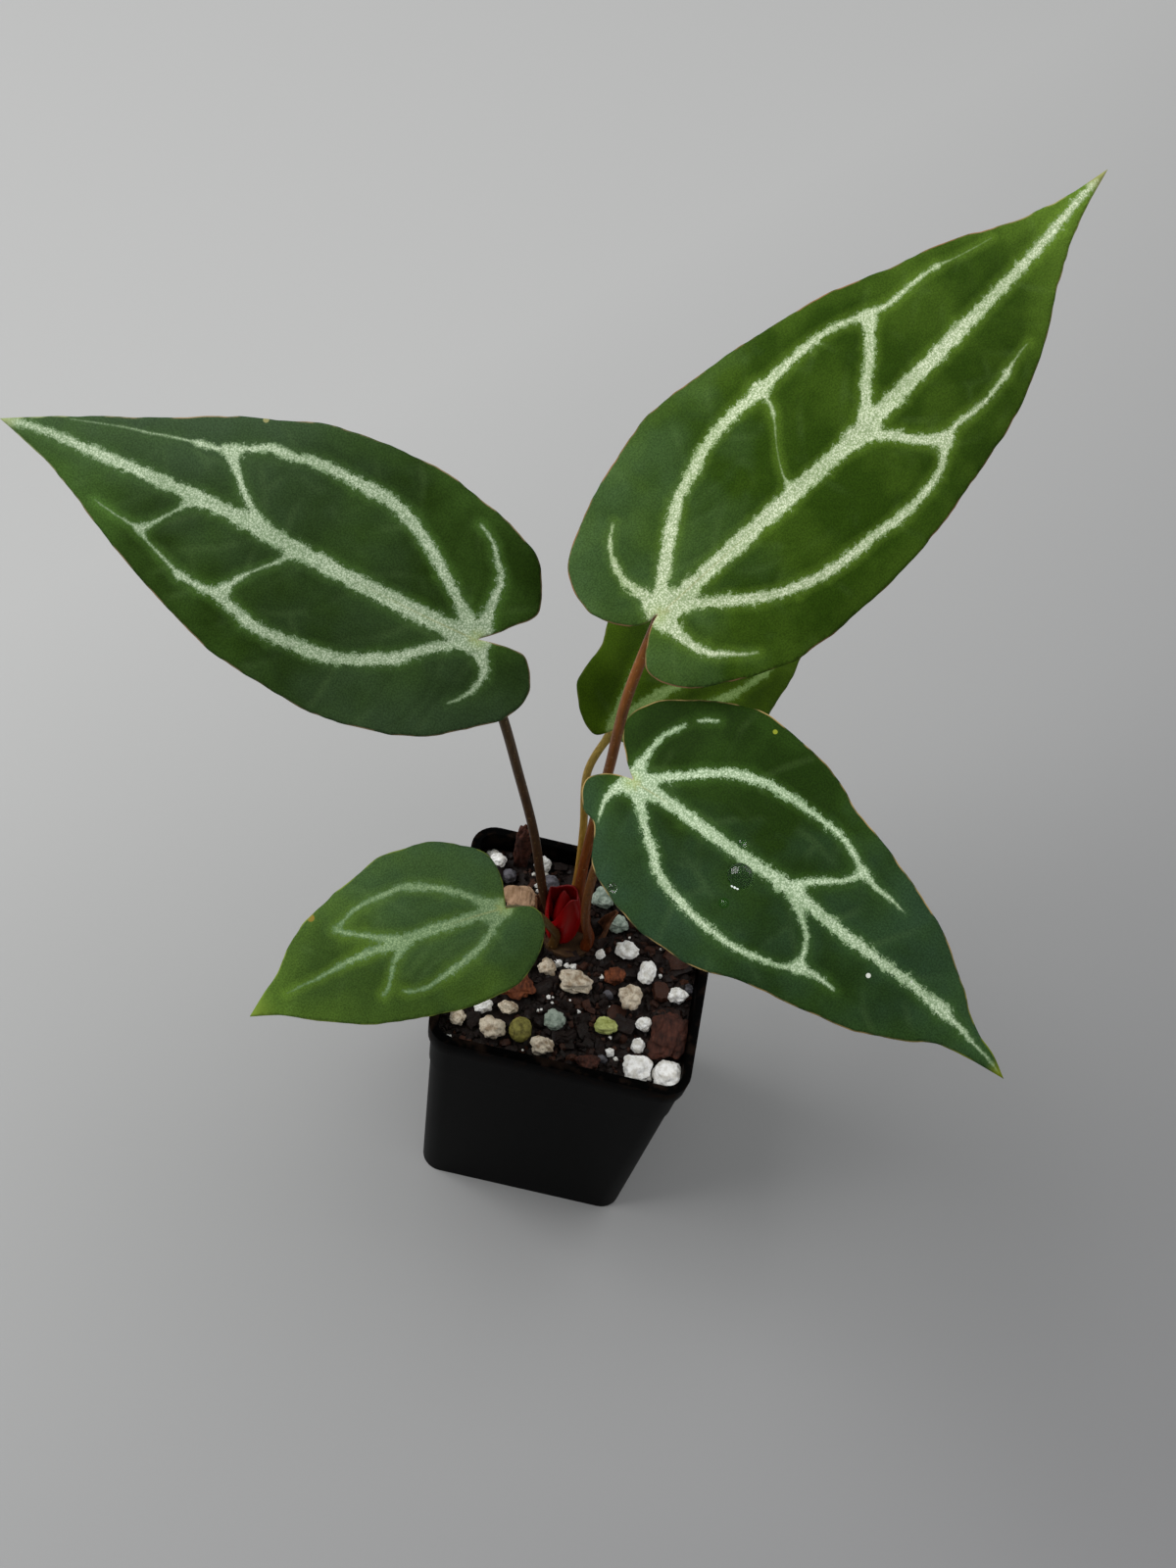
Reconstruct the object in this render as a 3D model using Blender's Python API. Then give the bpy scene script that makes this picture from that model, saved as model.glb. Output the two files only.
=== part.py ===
"""A young velvet-leaved anthurium in its square nursery pot, at real size.

The pot stands on z = 0 with the middle of its underside at the origin. +Z is up, and the side with the
lower leaves faces -Y. Lengths are in metres.
"""

import math
import random

import bmesh
import bpy
from mathutils import Matrix, Vector, noise
from mathutils.bvhtree import BVHTree
from mathutils.geometry import delaunay_2d_cdt

MM = 0.001
GAP = 0.3 * MM

# Pot: a square tub that widens upwards to a rolled rim.
POT_HEIGHT = 76 * MM
POT_TOP_WIDTH = 64 * MM
POT_FOOT_WIDTH = 53 * MM
POT_WALL = 1.2 * MM
POT_FLOOR = 1.6 * MM
RIM_HEIGHT = 6 * MM
RIM_LIP = 1.0 * MM
CORNER_RADIUS_TOP = 8 * MM
CORNER_RADIUS_FOOT = 6 * MM
CORNER_STEPS = 6
DRAIN_HOLE_RADIUS = 4 * MM
DRAIN_HOLE_OFFSET = 14 * MM

# Potting mix: level with the lower edge of the rolled rim, bumpy, with bark chunks standing out of it.
MIX_LEVEL = 70.6 * MM
MIX_BUMP = 0.9 * MM
MIX_BUMP_LENGTH = 7 * MM
MIX_BUMP_START = Vector((7.3, 1.1, 0))
MIX_MESH = 3.0 * MM
BARK_BITS = 26
BARK_BIT_SIZE = (3.2 * MM, 6.2 * MM)
BARK_BIT_SINK = 0.12
BARK_BIT_TILT = 30
CROWN_CLEARANCE = 9 * MM

# Crown: where the short stem ends and all the petioles start.
CROWN = Vector((-3.5 * MM, 8.6 * MM, 71.4 * MM))
STEM_PROFILE = ((-26, 2.4), (-21, 3.6), (-14, 4.8), (-7, 6.0), (-2, 7.0), (0, 6.7))
STEM_SIDES = 14
ROOT_COUNT = 6
ROOT_RADIUS = (1.7 * MM, 0.9 * MM)
ROOT_TOP_DEPTH = 10 * MM
ROOT_DEPTH_STEP = 1.5 * MM
ROOT_REACH = 17 * MM
ROOT_DROPS = (8 * MM, 22 * MM)
ROOT_SWINGS = (-4 * MM, 5 * MM)
ROOT_END = 14 * MM
ROOT_SIDES = 5
ROOT_STEPS = 2

# Leaves: the point that all blades turn their upper faces to, and the blade's thickness.
LIGHT = Vector((-23.4 * MM, -307 * MM, 562 * MM))
BLADE_THICKNESS = 0.7 * MM
BLADE_MESH = 4.8 * MM
OUTLINE_STEP = 3.5 * MM
PETIOLE_SIDES = 8
PETIOLE_STEPS = 3
KNEE_LENGTH = 7 * MM
KNEE_SWELL = 0.20
NECK = 0.92
FOOT_LENGTH = 22 * MM
FOOT_SWELL = 0.10

# Each blade: sinus is where the petiole meets it and tip is its far end, both in mm. Outline points are
# percent of its length along the midrib and, to its left or right, percent across, where one percent
# across measures "across" mm. Arch, camber, twist and wave are heights in mm of its bends. Petiole is the
# radius of its stalk, foot is where that starts on the crown, and route is what it passes through, in mm.
LEAVES = {
    "upper_right": {
        "sinus": (-3.9, 5.8, 199.5),
        "tip": (69.8, 117.5, 247.2),
        "across": 1.286,
        "left": (
            (0, 0.3), (-2.5, 0.8), (-5.2, 4), (-6.4, 9), (-4, 15.5), (3, 19.6), (10, 22), (20, 23.8),
            (30, 22.6), (40, 20.5), (50, 17.9), (60, 14), (70, 10.5), (80, 5.3), (90, 1.9), (100, 0),
        ),
        "right": (
            (0, 0.3), (-3, -1), (-6.6, -5.1), (-4.9, -10.5), (0, -14.8), (5, -18), (12, -20.9),
            (25, -22.3), (35, -22.1), (45, -20.8), (60, -17.8), (70, -13.4), (80, -7.2), (90, -2.7),
            (100, 0),
        ),
        "arch": 7.0, "camber": 3.4, "wave": 1.5, "waves": 2.3, "twist": 3.0,
        "petiole": 1.55, "finish": "terracotta_stalk", "foot": (-0.6, 11.4),
        "route": ((-3.6, 10.6, 88), (-4.8, 9.6, 115), (-4.9, 8.4, 142), (-5.4, 7.2, 170)),
    },
    "upper_left": {
        "sinus": (-38.8, 1.0, 184.8),
        "tip": (-145.3, 20.4, 195.5),
        "across": 1.088,
        "left": (
            (0, 0), (-6, -1), (-10, -0.3), (-12.8, 6), (-10, 12.2), (-3, 18), (5, 22.5), (20, 25.8),
            (35, 24.8), (45, 22.8), (55, 19.2), (65, 14.8), (75, 9.8), (85, 4.7), (95, 1.4), (100, 0),
        ),
        "right": (
            (0, 0), (-4, -3.8), (-8.2, -9.5), (-5, -17.3), (0, -21), (9, -24), (22, -26.2),
            (40, -25), (50, -21.8), (60, -18), (70, -13.2), (80, -8.9), (90, -4.7), (100, 0),
        ),
        "arch": 8.0, "camber": 3.0, "wave": 1.3, "waves": 2.1, "twist": -2.0,
        "petiole": 1.3, "finish": "brown_stalk", "foot": (-8.4, 9.0),
        "route": ((-12.2, 8.1, 88), (-17.8, 6.8, 113), (-24.5, 5.1, 137), (-31.5, 3.0, 161)),
    },
    "lower_right": {
        "sinus": (-1.2, -16.8, 173.0),
        "tip": (85.6, -56.8, 156.4),
        "across": 0.975,
        "left": (
            (0, 0.5), (-4, 3.3), (-8.3, 11.3), (-5.4, 17.4), (0, 22), (5.3, 26.3), (15, 29),
            (30, 28.3), (40, 25), (50, 22.7), (60, 19.7), (70, 16.3), (80, 10.6), (85, 7),
            (90, 4.3), (95, 2.9), (100, 0.3),
        ),
        "right": (
            (0, 0.5), (-4.7, -1.6), (-8, -5.9), (-4.7, -10.9), (-0.4, -12.4), (4.6, -19), (12, -22),
            (22, -23.4), (35, -22.1), (45, -18), (60, -14.3), (70, -11), (80, -5.7), (85, -2.5),
            (92, -0.9), (100, 0.3),
        ),
        "arch": 7.0, "camber": 2.6, "wave": 1.4, "waves": 1.9, "twist": 2.0,
        "petiole": 1.3, "finish": "terracotta_stalk", "foot": (1.4, 6.2),
        "route": ((-0.8, 2.6, 88), (-2.2, -1.4, 105), (-2.6, -6.5, 128), (-2.2, -12.0, 151)),
    },
    "lower_left": {
        "sinus": (-20.7, -23.0, 125.5),
        "tip": (-69.5, -54.5, 108.0),
        "across": 0.61,
        "left": (
            (0, 0.8), (-9.5, 4.2), (-11.2, 10.5), (-5, 20.4), (5, 26.7), (15, 28.7), (30, 27.7),
            (45, 24.3), (60, 20.3), (70, 15.2), (80, 9.8), (90, 3.8), (100, 0),
        ),
        "right": (
            (0, 0.8), (-1.6, -4.2), (-3.2, -12), (-1.2, -20.8), (6.3, -26.8), (14.7, -31.8),
            (25, -33.5), (35.5, -33.8), (50, -29.7), (65, -24.6), (75, -19.3), (85, -10),
            (92, -5.6), (100, 0),
        ),
        "arch": 4.5, "camber": 2.0, "wave": 0.8, "waves": 1.8, "twist": 0.0,
        "petiole": 1.1, "finish": "olive_stalk", "foot": (-6.6, 4.4),
        "route": ((-8.4, 1.0, 84), (-12.5, -6.0, 99), (-17.0, -14.0, 112)),
    },
    "rear": {
        "sinus": (-5.4, 18.9, 142.1),
        "tip": (42.1, 90.3, 124.2),
        "across": 0.58,
        "left": (
            (0, 0.5), (-4.7, 2.3), (-5.8, 6.4), (-5.2, 13.6), (-2.5, 21.4), (0.7, 25.9), (9.8, 31),
            (20.3, 40.5), (30, 42), (45, 37), (60, 28), (75, 18), (88, 8), (100, 0),
        ),
        "right": (
            (0, 0.5), (-2.4, -1.5), (-3.8, -6), (-2.6, -13), (1.5, -22), (10, -31), (24, -36),
            (40, -33), (55.3, -26.4), (66.2, -21.4), (77.5, -15), (90, -6), (100, 0),
        ),
        "arch": 6.0, "camber": 2.6, "wave": 1.6, "waves": 2.6, "twist": 0.0,
        "petiole": 1.1, "finish": "olive_stalk", "foot": (-4.6, 12.6),
        "route": ((-4.9, 13.8, 90), (-6.4, 15.2, 108), (-8.4, 17.0, 126)),
    },
}

# Sheaths at the crown: foot and height in mm, half widths in mm, and the lean of the tip in mm. The red
# one's outline is the share of its width at each share of its height.
RED_SHEATH = {"foot": (-3.6, 7.4), "height": 20, "radii": (3.0, 2.2), "lean": (-2.0, 0.8)}
SHEATH_OUTLINE = ((0, 0.8), (0.12, 0.95), (0.3, 1.0), (0.5, 0.92), (0.7, 0.70), (0.87, 0.40), (1, 0.12))
SHEATH_SIDES = 12
SHEATH_FOLD = 0.18
OLD_SHEATHS = (
    {"foot": (5.6, 11.0), "turn": 10, "width": 5.5, "height": 10, "lean": 1.5},
    {"foot": (-12.4, 11.6), "turn": 155, "width": 5.0, "height": 8, "lean": 1.2},
)
OLD_SHEATH_CURL = 2.6 * MM
OLD_SHEATH_THICKNESS = 0.6 * MM

# Loose grains in the surface of the mix: name, kind, place in mm, size in mm along x, y and z, turn.
GRAINS = (
    ("perlite_1", "perlite", (18.5, -24.5), (5.8, 6.2, 5.4), 20),
    ("perlite_2", "perlite", (25.1, -23.4), (5.6, 5.4, 5.0), 70),
    ("perlite_3", "perlite", (18.6, -18.2), (3.4, 4.4, 3.6), 10),
    ("perlite_4", "perlite", (11.6, 7.4), (6.4, 4.6, 4.2), 25),
    ("perlite_5", "perlite", (17.6, 2.4), (3.8, 7.4, 4.2), 25),
    ("perlite_6", "perlite", (26.0, -2.0), (5.0, 4.6, 4.4), 0),
    ("perlite_7", "perlite", (5.4, 4.6), (3.0, 3.0, 2.8), 0),
    ("perlite_8", "perlite", (12.0, -21.8), (2.8, 2.8, 2.6), 0),
    ("perlite_9", "perlite", (-24.6, 24.6), (4.6, 4.2, 4.4), 30),
    ("perlite_10", "perlite", (-13.4, 26.4), (4.6, 4.2, 5.0), 0),
    ("perlite_11", "perlite", (-20.2, -16.8), (4.6, 3.8, 3.6), 30),
    ("perlite_12", "perlite", (18.9, -12.4), (4.0, 4.2, 3.6), 40),
    ("pumice_1", "pumice", (14.2, -6.2), (6.0, 7.6, 5.4), -10),
    ("pumice_2", "pumice", (0.6, -4.8), (9.0, 6.4, 5.0), 20),
    ("pumice_3", "pumice", (-4.2, -24.8), (6.4, 4.8, 4.6), -15),
    ("pumice_4", "pumice", (-17.0, -23.2), (6.8, 6.2, 5.2), 0),
    ("pumice_5", "pumice", (-14.0, -16.2), (5.2, 3.8, 3.4), 10),
    ("pumice_6", "pumice", (-25.4, -21.8), (4.4, 4.4, 3.8), 0),
    ("pumice_7", "pumice", (-7.0, -2.4), (4.8, 4.0, 3.4), 30),
    ("wood_chip", "chip", (-17.4, 15.2), (9.0, 6.4, 4.6), 25),
    ("bark_chunk_1", "bark", (25.2, -13.4), (6.6, 10.5, 6.6), 3),
    ("bark_chunk_2", "bark", (7.0, -26.2), (6.2, 4.2, 4.2), -10),
    ("bark_chunk_3", "orange_bark", (-13.4, -9.8), (10.0, 5.6, 4.2), -25),
    ("bark_chunk_4", "orange_bark", (9.8, -0.6), (4.8, 4.2, 3.6), 40),
    ("bark_chunk_5", "bark", (-19.2, 26.4), (4.8, 3.4, 22.0), 10),
    ("clay_pellet", "olive", (-10.0, -21.4), (5.8, 6.6, 5.6), 10),
    ("green_grain", "yellow_green", (10.0, -15.2), (5.6, 4.6, 4.0), -20),
    ("zeolite_1", "zeolite", (-2.4, -16.8), (5.4, 5.4, 4.2), 35),
    ("zeolite_2", "zeolite", (8.4, 14.2), (5.6, 5.0, 4.4), 15),
    ("zeolite_3", "zeolite", (3.4, 20.8), (6.0, 5.8, 4.8), 50),
    ("stone_1", "stone", (-21.0, 21.2), (3.8, 3.6, 3.6), 0),
    ("stone_2", "stone", (-10.4, 21.6), (4.8, 4.4, 4.0), 20),
)
GRAIN_SINK = 0.18
GRAIN_DENTS = 0.22
SMALL_GRAIN = 3.2 * MM

# Finish of each material: linear base colour, roughness.
FINISHES = {
    "black_plastic": ((0.008, 0.008, 0.009), 0.42),
    "bark_mix": ((0.030, 0.014, 0.010), 0.85),
    "velvet_green": ((0.018, 0.060, 0.014), 0.55),
    "terracotta_stalk": ((0.190, 0.060, 0.022), 0.45),
    "olive_stalk": ((0.130, 0.090, 0.025), 0.45),
    "brown_stalk": ((0.070, 0.028, 0.014), 0.45),
    "pale_stem": ((0.250, 0.190, 0.110), 0.60),
    "red_sheath": ((0.260, 0.010, 0.014), 0.40),
    "old_sheath": ((0.160, 0.070, 0.030), 0.75),
    "perlite": ((0.800, 0.800, 0.780), 0.80),
    "pumice": ((0.560, 0.450, 0.330), 0.80),
    "chip": ((0.400, 0.260, 0.150), 0.80),
    "bark": ((0.090, 0.030, 0.018), 0.85),
    "orange_bark": ((0.200, 0.060, 0.020), 0.85),
    "olive": ((0.180, 0.180, 0.040), 0.60),
    "yellow_green": ((0.420, 0.480, 0.140), 0.60),
    "zeolite": ((0.330, 0.420, 0.350), 0.70),
    "stone": ((0.120, 0.120, 0.120), 0.70),
}


def material(name):
    """The Principled material of one finish, made once."""
    found = bpy.data.materials.get(name)
    if found:
        return found
    colour, roughness = FINISHES[name]
    made = bpy.data.materials.new(name)
    made.use_nodes = True
    shader = made.node_tree.nodes["Principled BSDF"]
    shader.inputs["Base Color"].default_value = (*colour, 1)
    shader.inputs["Roughness"].default_value = roughness
    made.diffuse_color = (*colour, 1)
    return made


def place(name, bm, finish, smooth=True):
    """Turns a bmesh into an object of the scene with one material."""
    bmesh.ops.recalc_face_normals(bm, faces=bm.faces)
    mesh = bpy.data.meshes.new(name)
    bm.to_mesh(mesh)
    bm.free()
    if smooth:
        mesh.shade_smooth()
        mesh.set_sharp_from_angle(angle=math.radians(40))
    mesh.materials.append(material(finish))
    obj = bpy.data.objects.new(name, mesh)
    bpy.context.scene.collection.objects.link(obj)
    return obj


def cut(obj, cutters, operation="DIFFERENCE"):
    """Applies one Boolean with all the cutters, and removes them."""
    group = bpy.data.collections.new(obj.name + "_cutters")
    bpy.context.scene.collection.children.link(group)
    for cutter in cutters:
        group.objects.link(cutter)
    boolean = obj.modifiers.new("join", "BOOLEAN")
    boolean.operation = operation
    boolean.operand_type = "COLLECTION"
    boolean.collection = group
    boolean.use_self = True
    apply_modifiers(obj)
    for cutter in cutters:
        bpy.data.objects.remove(cutter)
    bpy.data.collections.remove(group)


def apply_modifiers(obj):
    """Replaces the object's mesh by the one that its modifiers give."""
    graph = bpy.context.evaluated_depsgraph_get()
    graph.update()
    mesh = bpy.data.meshes.new_from_object(obj.evaluated_get(graph))
    obj.modifiers.clear()
    obj.data = mesh


def rounded_square(half, radius, z):
    """Points of a square with round corners, anticlockwise, CORNER_STEPS + 1 for each corner."""
    points = []
    for corner in range(4):
        centre = Matrix.Rotation(corner * math.pi / 2, 2) @ Vector((half - radius, half - radius))
        for step in range(CORNER_STEPS + 1):
            angle = (corner + step / CORNER_STEPS) * math.pi / 2
            points.append(Vector((centre.x + radius * math.cos(angle),
                                  centre.y + radius * math.sin(angle), z)))
    return points


def loft(rings):
    """A closed bmesh through rings of equal point counts, with a cap on the first and last."""
    bm = bmesh.new()
    loops = [[bm.verts.new(point) for point in ring] for ring in rings]
    for low, high in zip(loops, loops[1:]):
        for i in range(len(low)):
            j = (i + 1) % len(low)
            bm.faces.new((low[i], low[j], high[j], high[i]))
    bm.faces.new(reversed(loops[0]))
    bm.faces.new(loops[-1])
    return bm


def pot_half(z):
    """Half the pot's outer width at a height, without the rim's lip."""
    top = POT_TOP_WIDTH / 2 - RIM_LIP
    return POT_FOOT_WIDTH / 2 + (top - POT_FOOT_WIDTH / 2) * z / POT_HEIGHT


def pot_corner(z):
    """The radius of the pot's outer corners at a height."""
    return CORNER_RADIUS_FOOT + (CORNER_RADIUS_TOP - CORNER_RADIUS_FOOT) * z / POT_HEIGHT


def build_pot():
    """The tub: up its outer side, over the rolled rim and down inside, with four drain holes."""
    edge = 0.8 * MM
    lip_low = POT_HEIGHT - RIM_HEIGHT
    rim_half = POT_TOP_WIDTH / 2

    def ring(z, half):
        return rounded_square(half, pot_corner(z) + half - pot_half(z), z)

    rings = [
        ring(0, pot_half(0) - edge),
        ring(edge, pot_half(edge)),
        ring(lip_low - edge, pot_half(lip_low - edge)),
        ring(lip_low, rim_half - 0.3 * RIM_LIP),
        ring(lip_low + edge, rim_half),
        ring(POT_HEIGHT - edge, rim_half),
        ring(POT_HEIGHT - 0.2 * edge, rim_half - 0.35 * edge),
        ring(POT_HEIGHT, rim_half - edge),
        ring(POT_HEIGHT - 0.3 * edge, pot_half(POT_HEIGHT) - 0.7 * POT_WALL),
        ring(POT_HEIGHT - edge, pot_half(POT_HEIGHT - edge) - POT_WALL),
        ring(POT_FLOOR, pot_half(POT_FLOOR) - POT_WALL),
    ]
    pot = place("nursery_pot", loft(rings), "black_plastic")
    holes = []
    for quarter in range(4):
        angle = math.pi / 4 + quarter * math.pi / 2
        bm = bmesh.new()
        bmesh.ops.create_cone(
            bm, cap_ends=True, segments=16, radius1=DRAIN_HOLE_RADIUS, radius2=DRAIN_HOLE_RADIUS,
            depth=4 * POT_FLOOR,
            matrix=Matrix.Translation((math.sqrt(2) * DRAIN_HOLE_OFFSET * math.cos(angle),
                                       math.sqrt(2) * DRAIN_HOLE_OFFSET * math.sin(angle), 0)),
        )
        holes.append(place("drain_hole", bm, "black_plastic"))
    cut(pot, holes)


def inside(point, outline):
    """Whether a 2-D point lies in the closed outline: an odd number of its edges cross a ray from it."""
    crossings = 0
    for a, b in zip(outline, outline[1:] + outline[:1]):
        if (a.y > point.y) != (b.y > point.y):
            crossings += point.x < a.x + (point.y - a.y) * (b.x - a.x) / (b.y - a.y)
    return crossings % 2 == 1


def edge_distance(point, outline):
    """How far a 2-D point lies from the nearest edge of a closed outline."""
    nearest = math.inf
    for a, b in zip(outline, outline[1:] + outline[:1]):
        side = b - a
        along = max(0, min(1, (point - a).dot(side) / max(side.length_squared, 1e-12)))
        nearest = min(nearest, (point - a - along * side).length)
    return nearest


def triangle_sheet(outline, spacing):
    """2-D points and triangles that fill an outline with nearly equal triangles."""
    low = Vector((min(p.x for p in outline), min(p.y for p in outline)))
    high = Vector((max(p.x for p in outline), max(p.y for p in outline)))
    points = list(outline)
    row_height = spacing * math.sqrt(3) / 2
    for row in range(int((high.y - low.y) / row_height) + 1):
        for column in range(int((high.x - low.x) / spacing) + 2):
            point = low + Vector(((column - 0.5 * (row % 2)) * spacing, (row + 0.5) * row_height))
            if inside(point, outline) and edge_distance(point, outline) > 0.5 * spacing:
                points.append(point)
    count = len(outline)
    edges = [(i, (i + 1) % count) for i in range(count)]
    inside_only, merge_within = 1, 1e-7
    found = delaunay_2d_cdt(points, edges, [], inside_only, merge_within)
    return found[0], found[2]


def smooth_route(points, steps):
    """A smooth curve through the points, as a list with this many steps to each stretch."""
    ends = [2 * points[0] - points[1], *points, 2 * points[-1] - points[-2]]
    route = []
    for p0, p1, p2, p3 in zip(ends, ends[1:], ends[2:], ends[3:]):
        for step in range(steps):
            t = step / steps
            route.append(0.5 * (2 * p1 + (p2 - p0) * t + (2 * p0 - 5 * p1 + 4 * p2 - p3) * t ** 2
                                + (3 * p1 - p0 - 3 * p2 + p3) * t ** 3))
    return [*route, points[-1]]


def even_steps(route, spacing):
    """Points at nearly equal distances along a route, ends kept."""
    lengths = [0]
    for a, b in zip(route, route[1:]):
        lengths.append(lengths[-1] + (b - a).length)
    count = max(2, round(lengths[-1] / spacing))
    even, i = [], 0
    for step in range(count):
        target = lengths[-1] * step / count
        while lengths[i + 1] < target:
            i += 1
        even.append(route[i].lerp(route[i + 1], (target - lengths[i]) / (lengths[i + 1] - lengths[i])))
    return [*even, route[-1]]


def tube(route, radii, sides):
    """A closed tube along a route, its rings turned with the least twist."""
    tangents = [(b - a).normalized() for a, b in zip([route[0], *route], [*route[1:], route[-1]])]
    side = tangents[0].orthogonal().normalized()
    rings = []
    for i, (centre, radius) in enumerate(zip(route, radii)):
        if i:
            side = tangents[i - 1].rotation_difference(tangents[i]) @ side
        across = tangents[i].cross(side)
        rings.append([centre + radius * (math.cos(2 * math.pi * k / sides) * side
                                         + math.sin(2 * math.pi * k / sides) * across)
                      for k in range(sides)])
    return loft(rings)


class Blade:
    """One leaf blade: its frame, its bends and the points of its surface."""

    def __init__(self, leaf):
        self.leaf = leaf
        self.sinus = Vector(leaf["sinus"]) * MM
        to_tip = Vector(leaf["tip"]) * MM - self.sinus
        self.length = to_tip.length
        self.along = to_tip.normalized()
        to_light = LIGHT - self.sinus
        self.up = (to_light - to_light.project(self.along)).normalized()
        self.left = self.up.cross(self.along)
        self.half = max(abs(y) for _, y in leaf["left"] + leaf["right"]) * leaf["across"] * MM

    def flat(self, point):
        """Outline percent to metres along and across."""
        return Vector((point[0] / 100 * self.length, point[1] * self.leaf["across"] * MM))

    def height(self, flat):
        """How far the surface stands off the line from sinus to tip."""
        u, v = flat.x / self.length, flat.y / self.half
        phase = 0.9 if v > 0 else 2.6
        wave = math.sin(2 * math.pi * self.leaf["waves"] * u + phase) * v * v
        return MM * (self.leaf["arch"] * 4 * u * (1 - u) - self.leaf["camber"] * v * v
                     + self.leaf["twist"] * v * u * (1 - u) + self.leaf["wave"] * wave)

    def point(self, flat):
        """The place in space of a point of the flat outline."""
        return self.sinus + flat.x * self.along + flat.y * self.left + self.height(flat) * self.up

    def normal(self, flat):
        """The direction that the upper face looks in."""
        step = 0.5 * MM
        ahead = self.point(flat + Vector((step, 0))) - self.point(flat - Vector((step, 0)))
        left = self.point(flat + Vector((0, step))) - self.point(flat - Vector((0, step)))
        return ahead.cross(left).normalized()

    def outline(self):
        """The closed outline, out along the left side and back along the right."""
        sides = []
        for side in ("left", "right"):
            points = [self.flat(p).to_3d() for p in self.leaf[side]]
            even = even_steps(smooth_route(points, 6), OUTLINE_STEP)
            sides.append([p.to_2d() for p in even])
        return sides[0] + sides[1][-2:0:-1]


def build_blade(name, leaf):
    """A blade as a bent sheet of triangles with a thickness."""
    blade = Blade(leaf)
    points, triangles = triangle_sheet(blade.outline(), BLADE_MESH)
    bm = bmesh.new()
    verts = [bm.verts.new(blade.point(p)) for p in points]
    for triangle in triangles:
        bm.faces.new([verts[i] for i in triangle])
    obj = place("blade_" + name, bm, "velvet_green")
    thickness = obj.modifiers.new("thickness", "SOLIDIFY")
    thickness.thickness = BLADE_THICKNESS
    thickness.offset = 0


def build_petiole(name, leaf):
    """A stalk from the crown to the underside of its blade, with a thicker knee at the top."""
    blade = Blade(leaf)
    seat = Vector((1.2 * MM, 0))
    normal = blade.normal(seat)
    top = blade.point(seat) - normal * (BLADE_THICKNESS / 2 + 1.2 * GAP)
    foot = Vector((leaf["foot"][0] * MM, leaf["foot"][1] * MM, CROWN.z + 1.6 * GAP))
    start = foot + Vector((0, 0, 5 * MM))
    middle = [Vector(point) * MM for point in leaf["route"]]
    knee = top - normal * KNEE_LENGTH * 0.6
    collar = top - normal * KNEE_LENGTH * 0.2
    route = smooth_route([foot, start, *middle, knee, collar, top], PETIOLE_STEPS)
    radius = leaf["petiole"] * MM
    radii = []
    for point in route:
        to_knee = max(0, 1 - (point - top).length / KNEE_LENGTH)
        to_foot = max(0, 1 - (point - foot).length / FOOT_LENGTH)
        swell = KNEE_SWELL * math.sin(math.pi * min(1, 1.4 * to_knee))
        radii.append(radius * (NECK + swell + FOOT_SWELL * to_foot))
    place("petiole_" + name, tube(route, radii, PETIOLE_SIDES), leaf["finish"])


def stem_shapes(extra, top):
    """The stem and its roots as separate closed objects, each thicker all round by "extra". Top is how far
    the stem reaches above the crown."""
    shapes = []
    profile = [(z * MM, r * MM + extra) for z, r in STEM_PROFILE]
    profile[0] = (profile[0][0] - extra, profile[0][1])
    profile[-1] = (top, profile[-1][1])
    route = [CROWN + Vector((0, 0, z)) for z, _ in profile]
    shapes.append(place("stem", tube(route, [r for _, r in profile], STEM_SIDES), "pale_stem"))
    for i in range(ROOT_COUNT):
        angle = 2 * math.pi * (i + 0.35 * (i % 2)) / ROOT_COUNT
        out = Vector((math.cos(angle), math.sin(angle), 0))
        swing = Vector((-out.y, out.x, 0)) * ROOT_SWINGS[i % 2]
        start = CROWN - Vector((0, 0, ROOT_TOP_DEPTH + i * ROOT_DEPTH_STEP))
        reach = ROOT_REACH * (0.75 + 0.25 * math.cos(2.1 * i))
        points = [start, start + out * reach * 0.55 - Vector((0, 0, ROOT_DROPS[0])),
                  start + out * reach * 0.85 + swing - Vector((0, 0, ROOT_DROPS[1]))]
        end = points[-1] + Vector((0, 0, ROOT_END + i * MM - points[-1].z)) - out * 3 * MM
        points += [points[-1].lerp(end, 0.5) - 0.5 * swing, end]
        route = smooth_route(points, ROOT_STEPS)
        last = len(route) - 1
        radii = [ROOT_RADIUS[0] + (ROOT_RADIUS[1] - ROOT_RADIUS[0]) * k / last + extra
                 for k in range(last + 1)]
        if extra:
            route[-1] = route[-1] + (route[-1] - route[-2]).normalized() * extra
        shapes.append(place("root", tube(route, radii, ROOT_SIDES), "pale_stem"))
    return shapes


def build_stem():
    """The stem with its roots, joined as one piece."""
    stem, *roots = stem_shapes(0, 0.0)
    cut(stem, roots, "UNION")
    stem.name = "stem_and_roots"


def mix_height(x, y, outline):
    """Height of the mix: bumps that fade out at the pot's wall."""
    fade = min(1, edge_distance(Vector((x, y)), outline) / (3 * MM))
    return MIX_LEVEL + MIX_BUMP * fade * noise.noise(Vector((x, y, 0)) / MIX_BUMP_LENGTH + MIX_BUMP_START)


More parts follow.
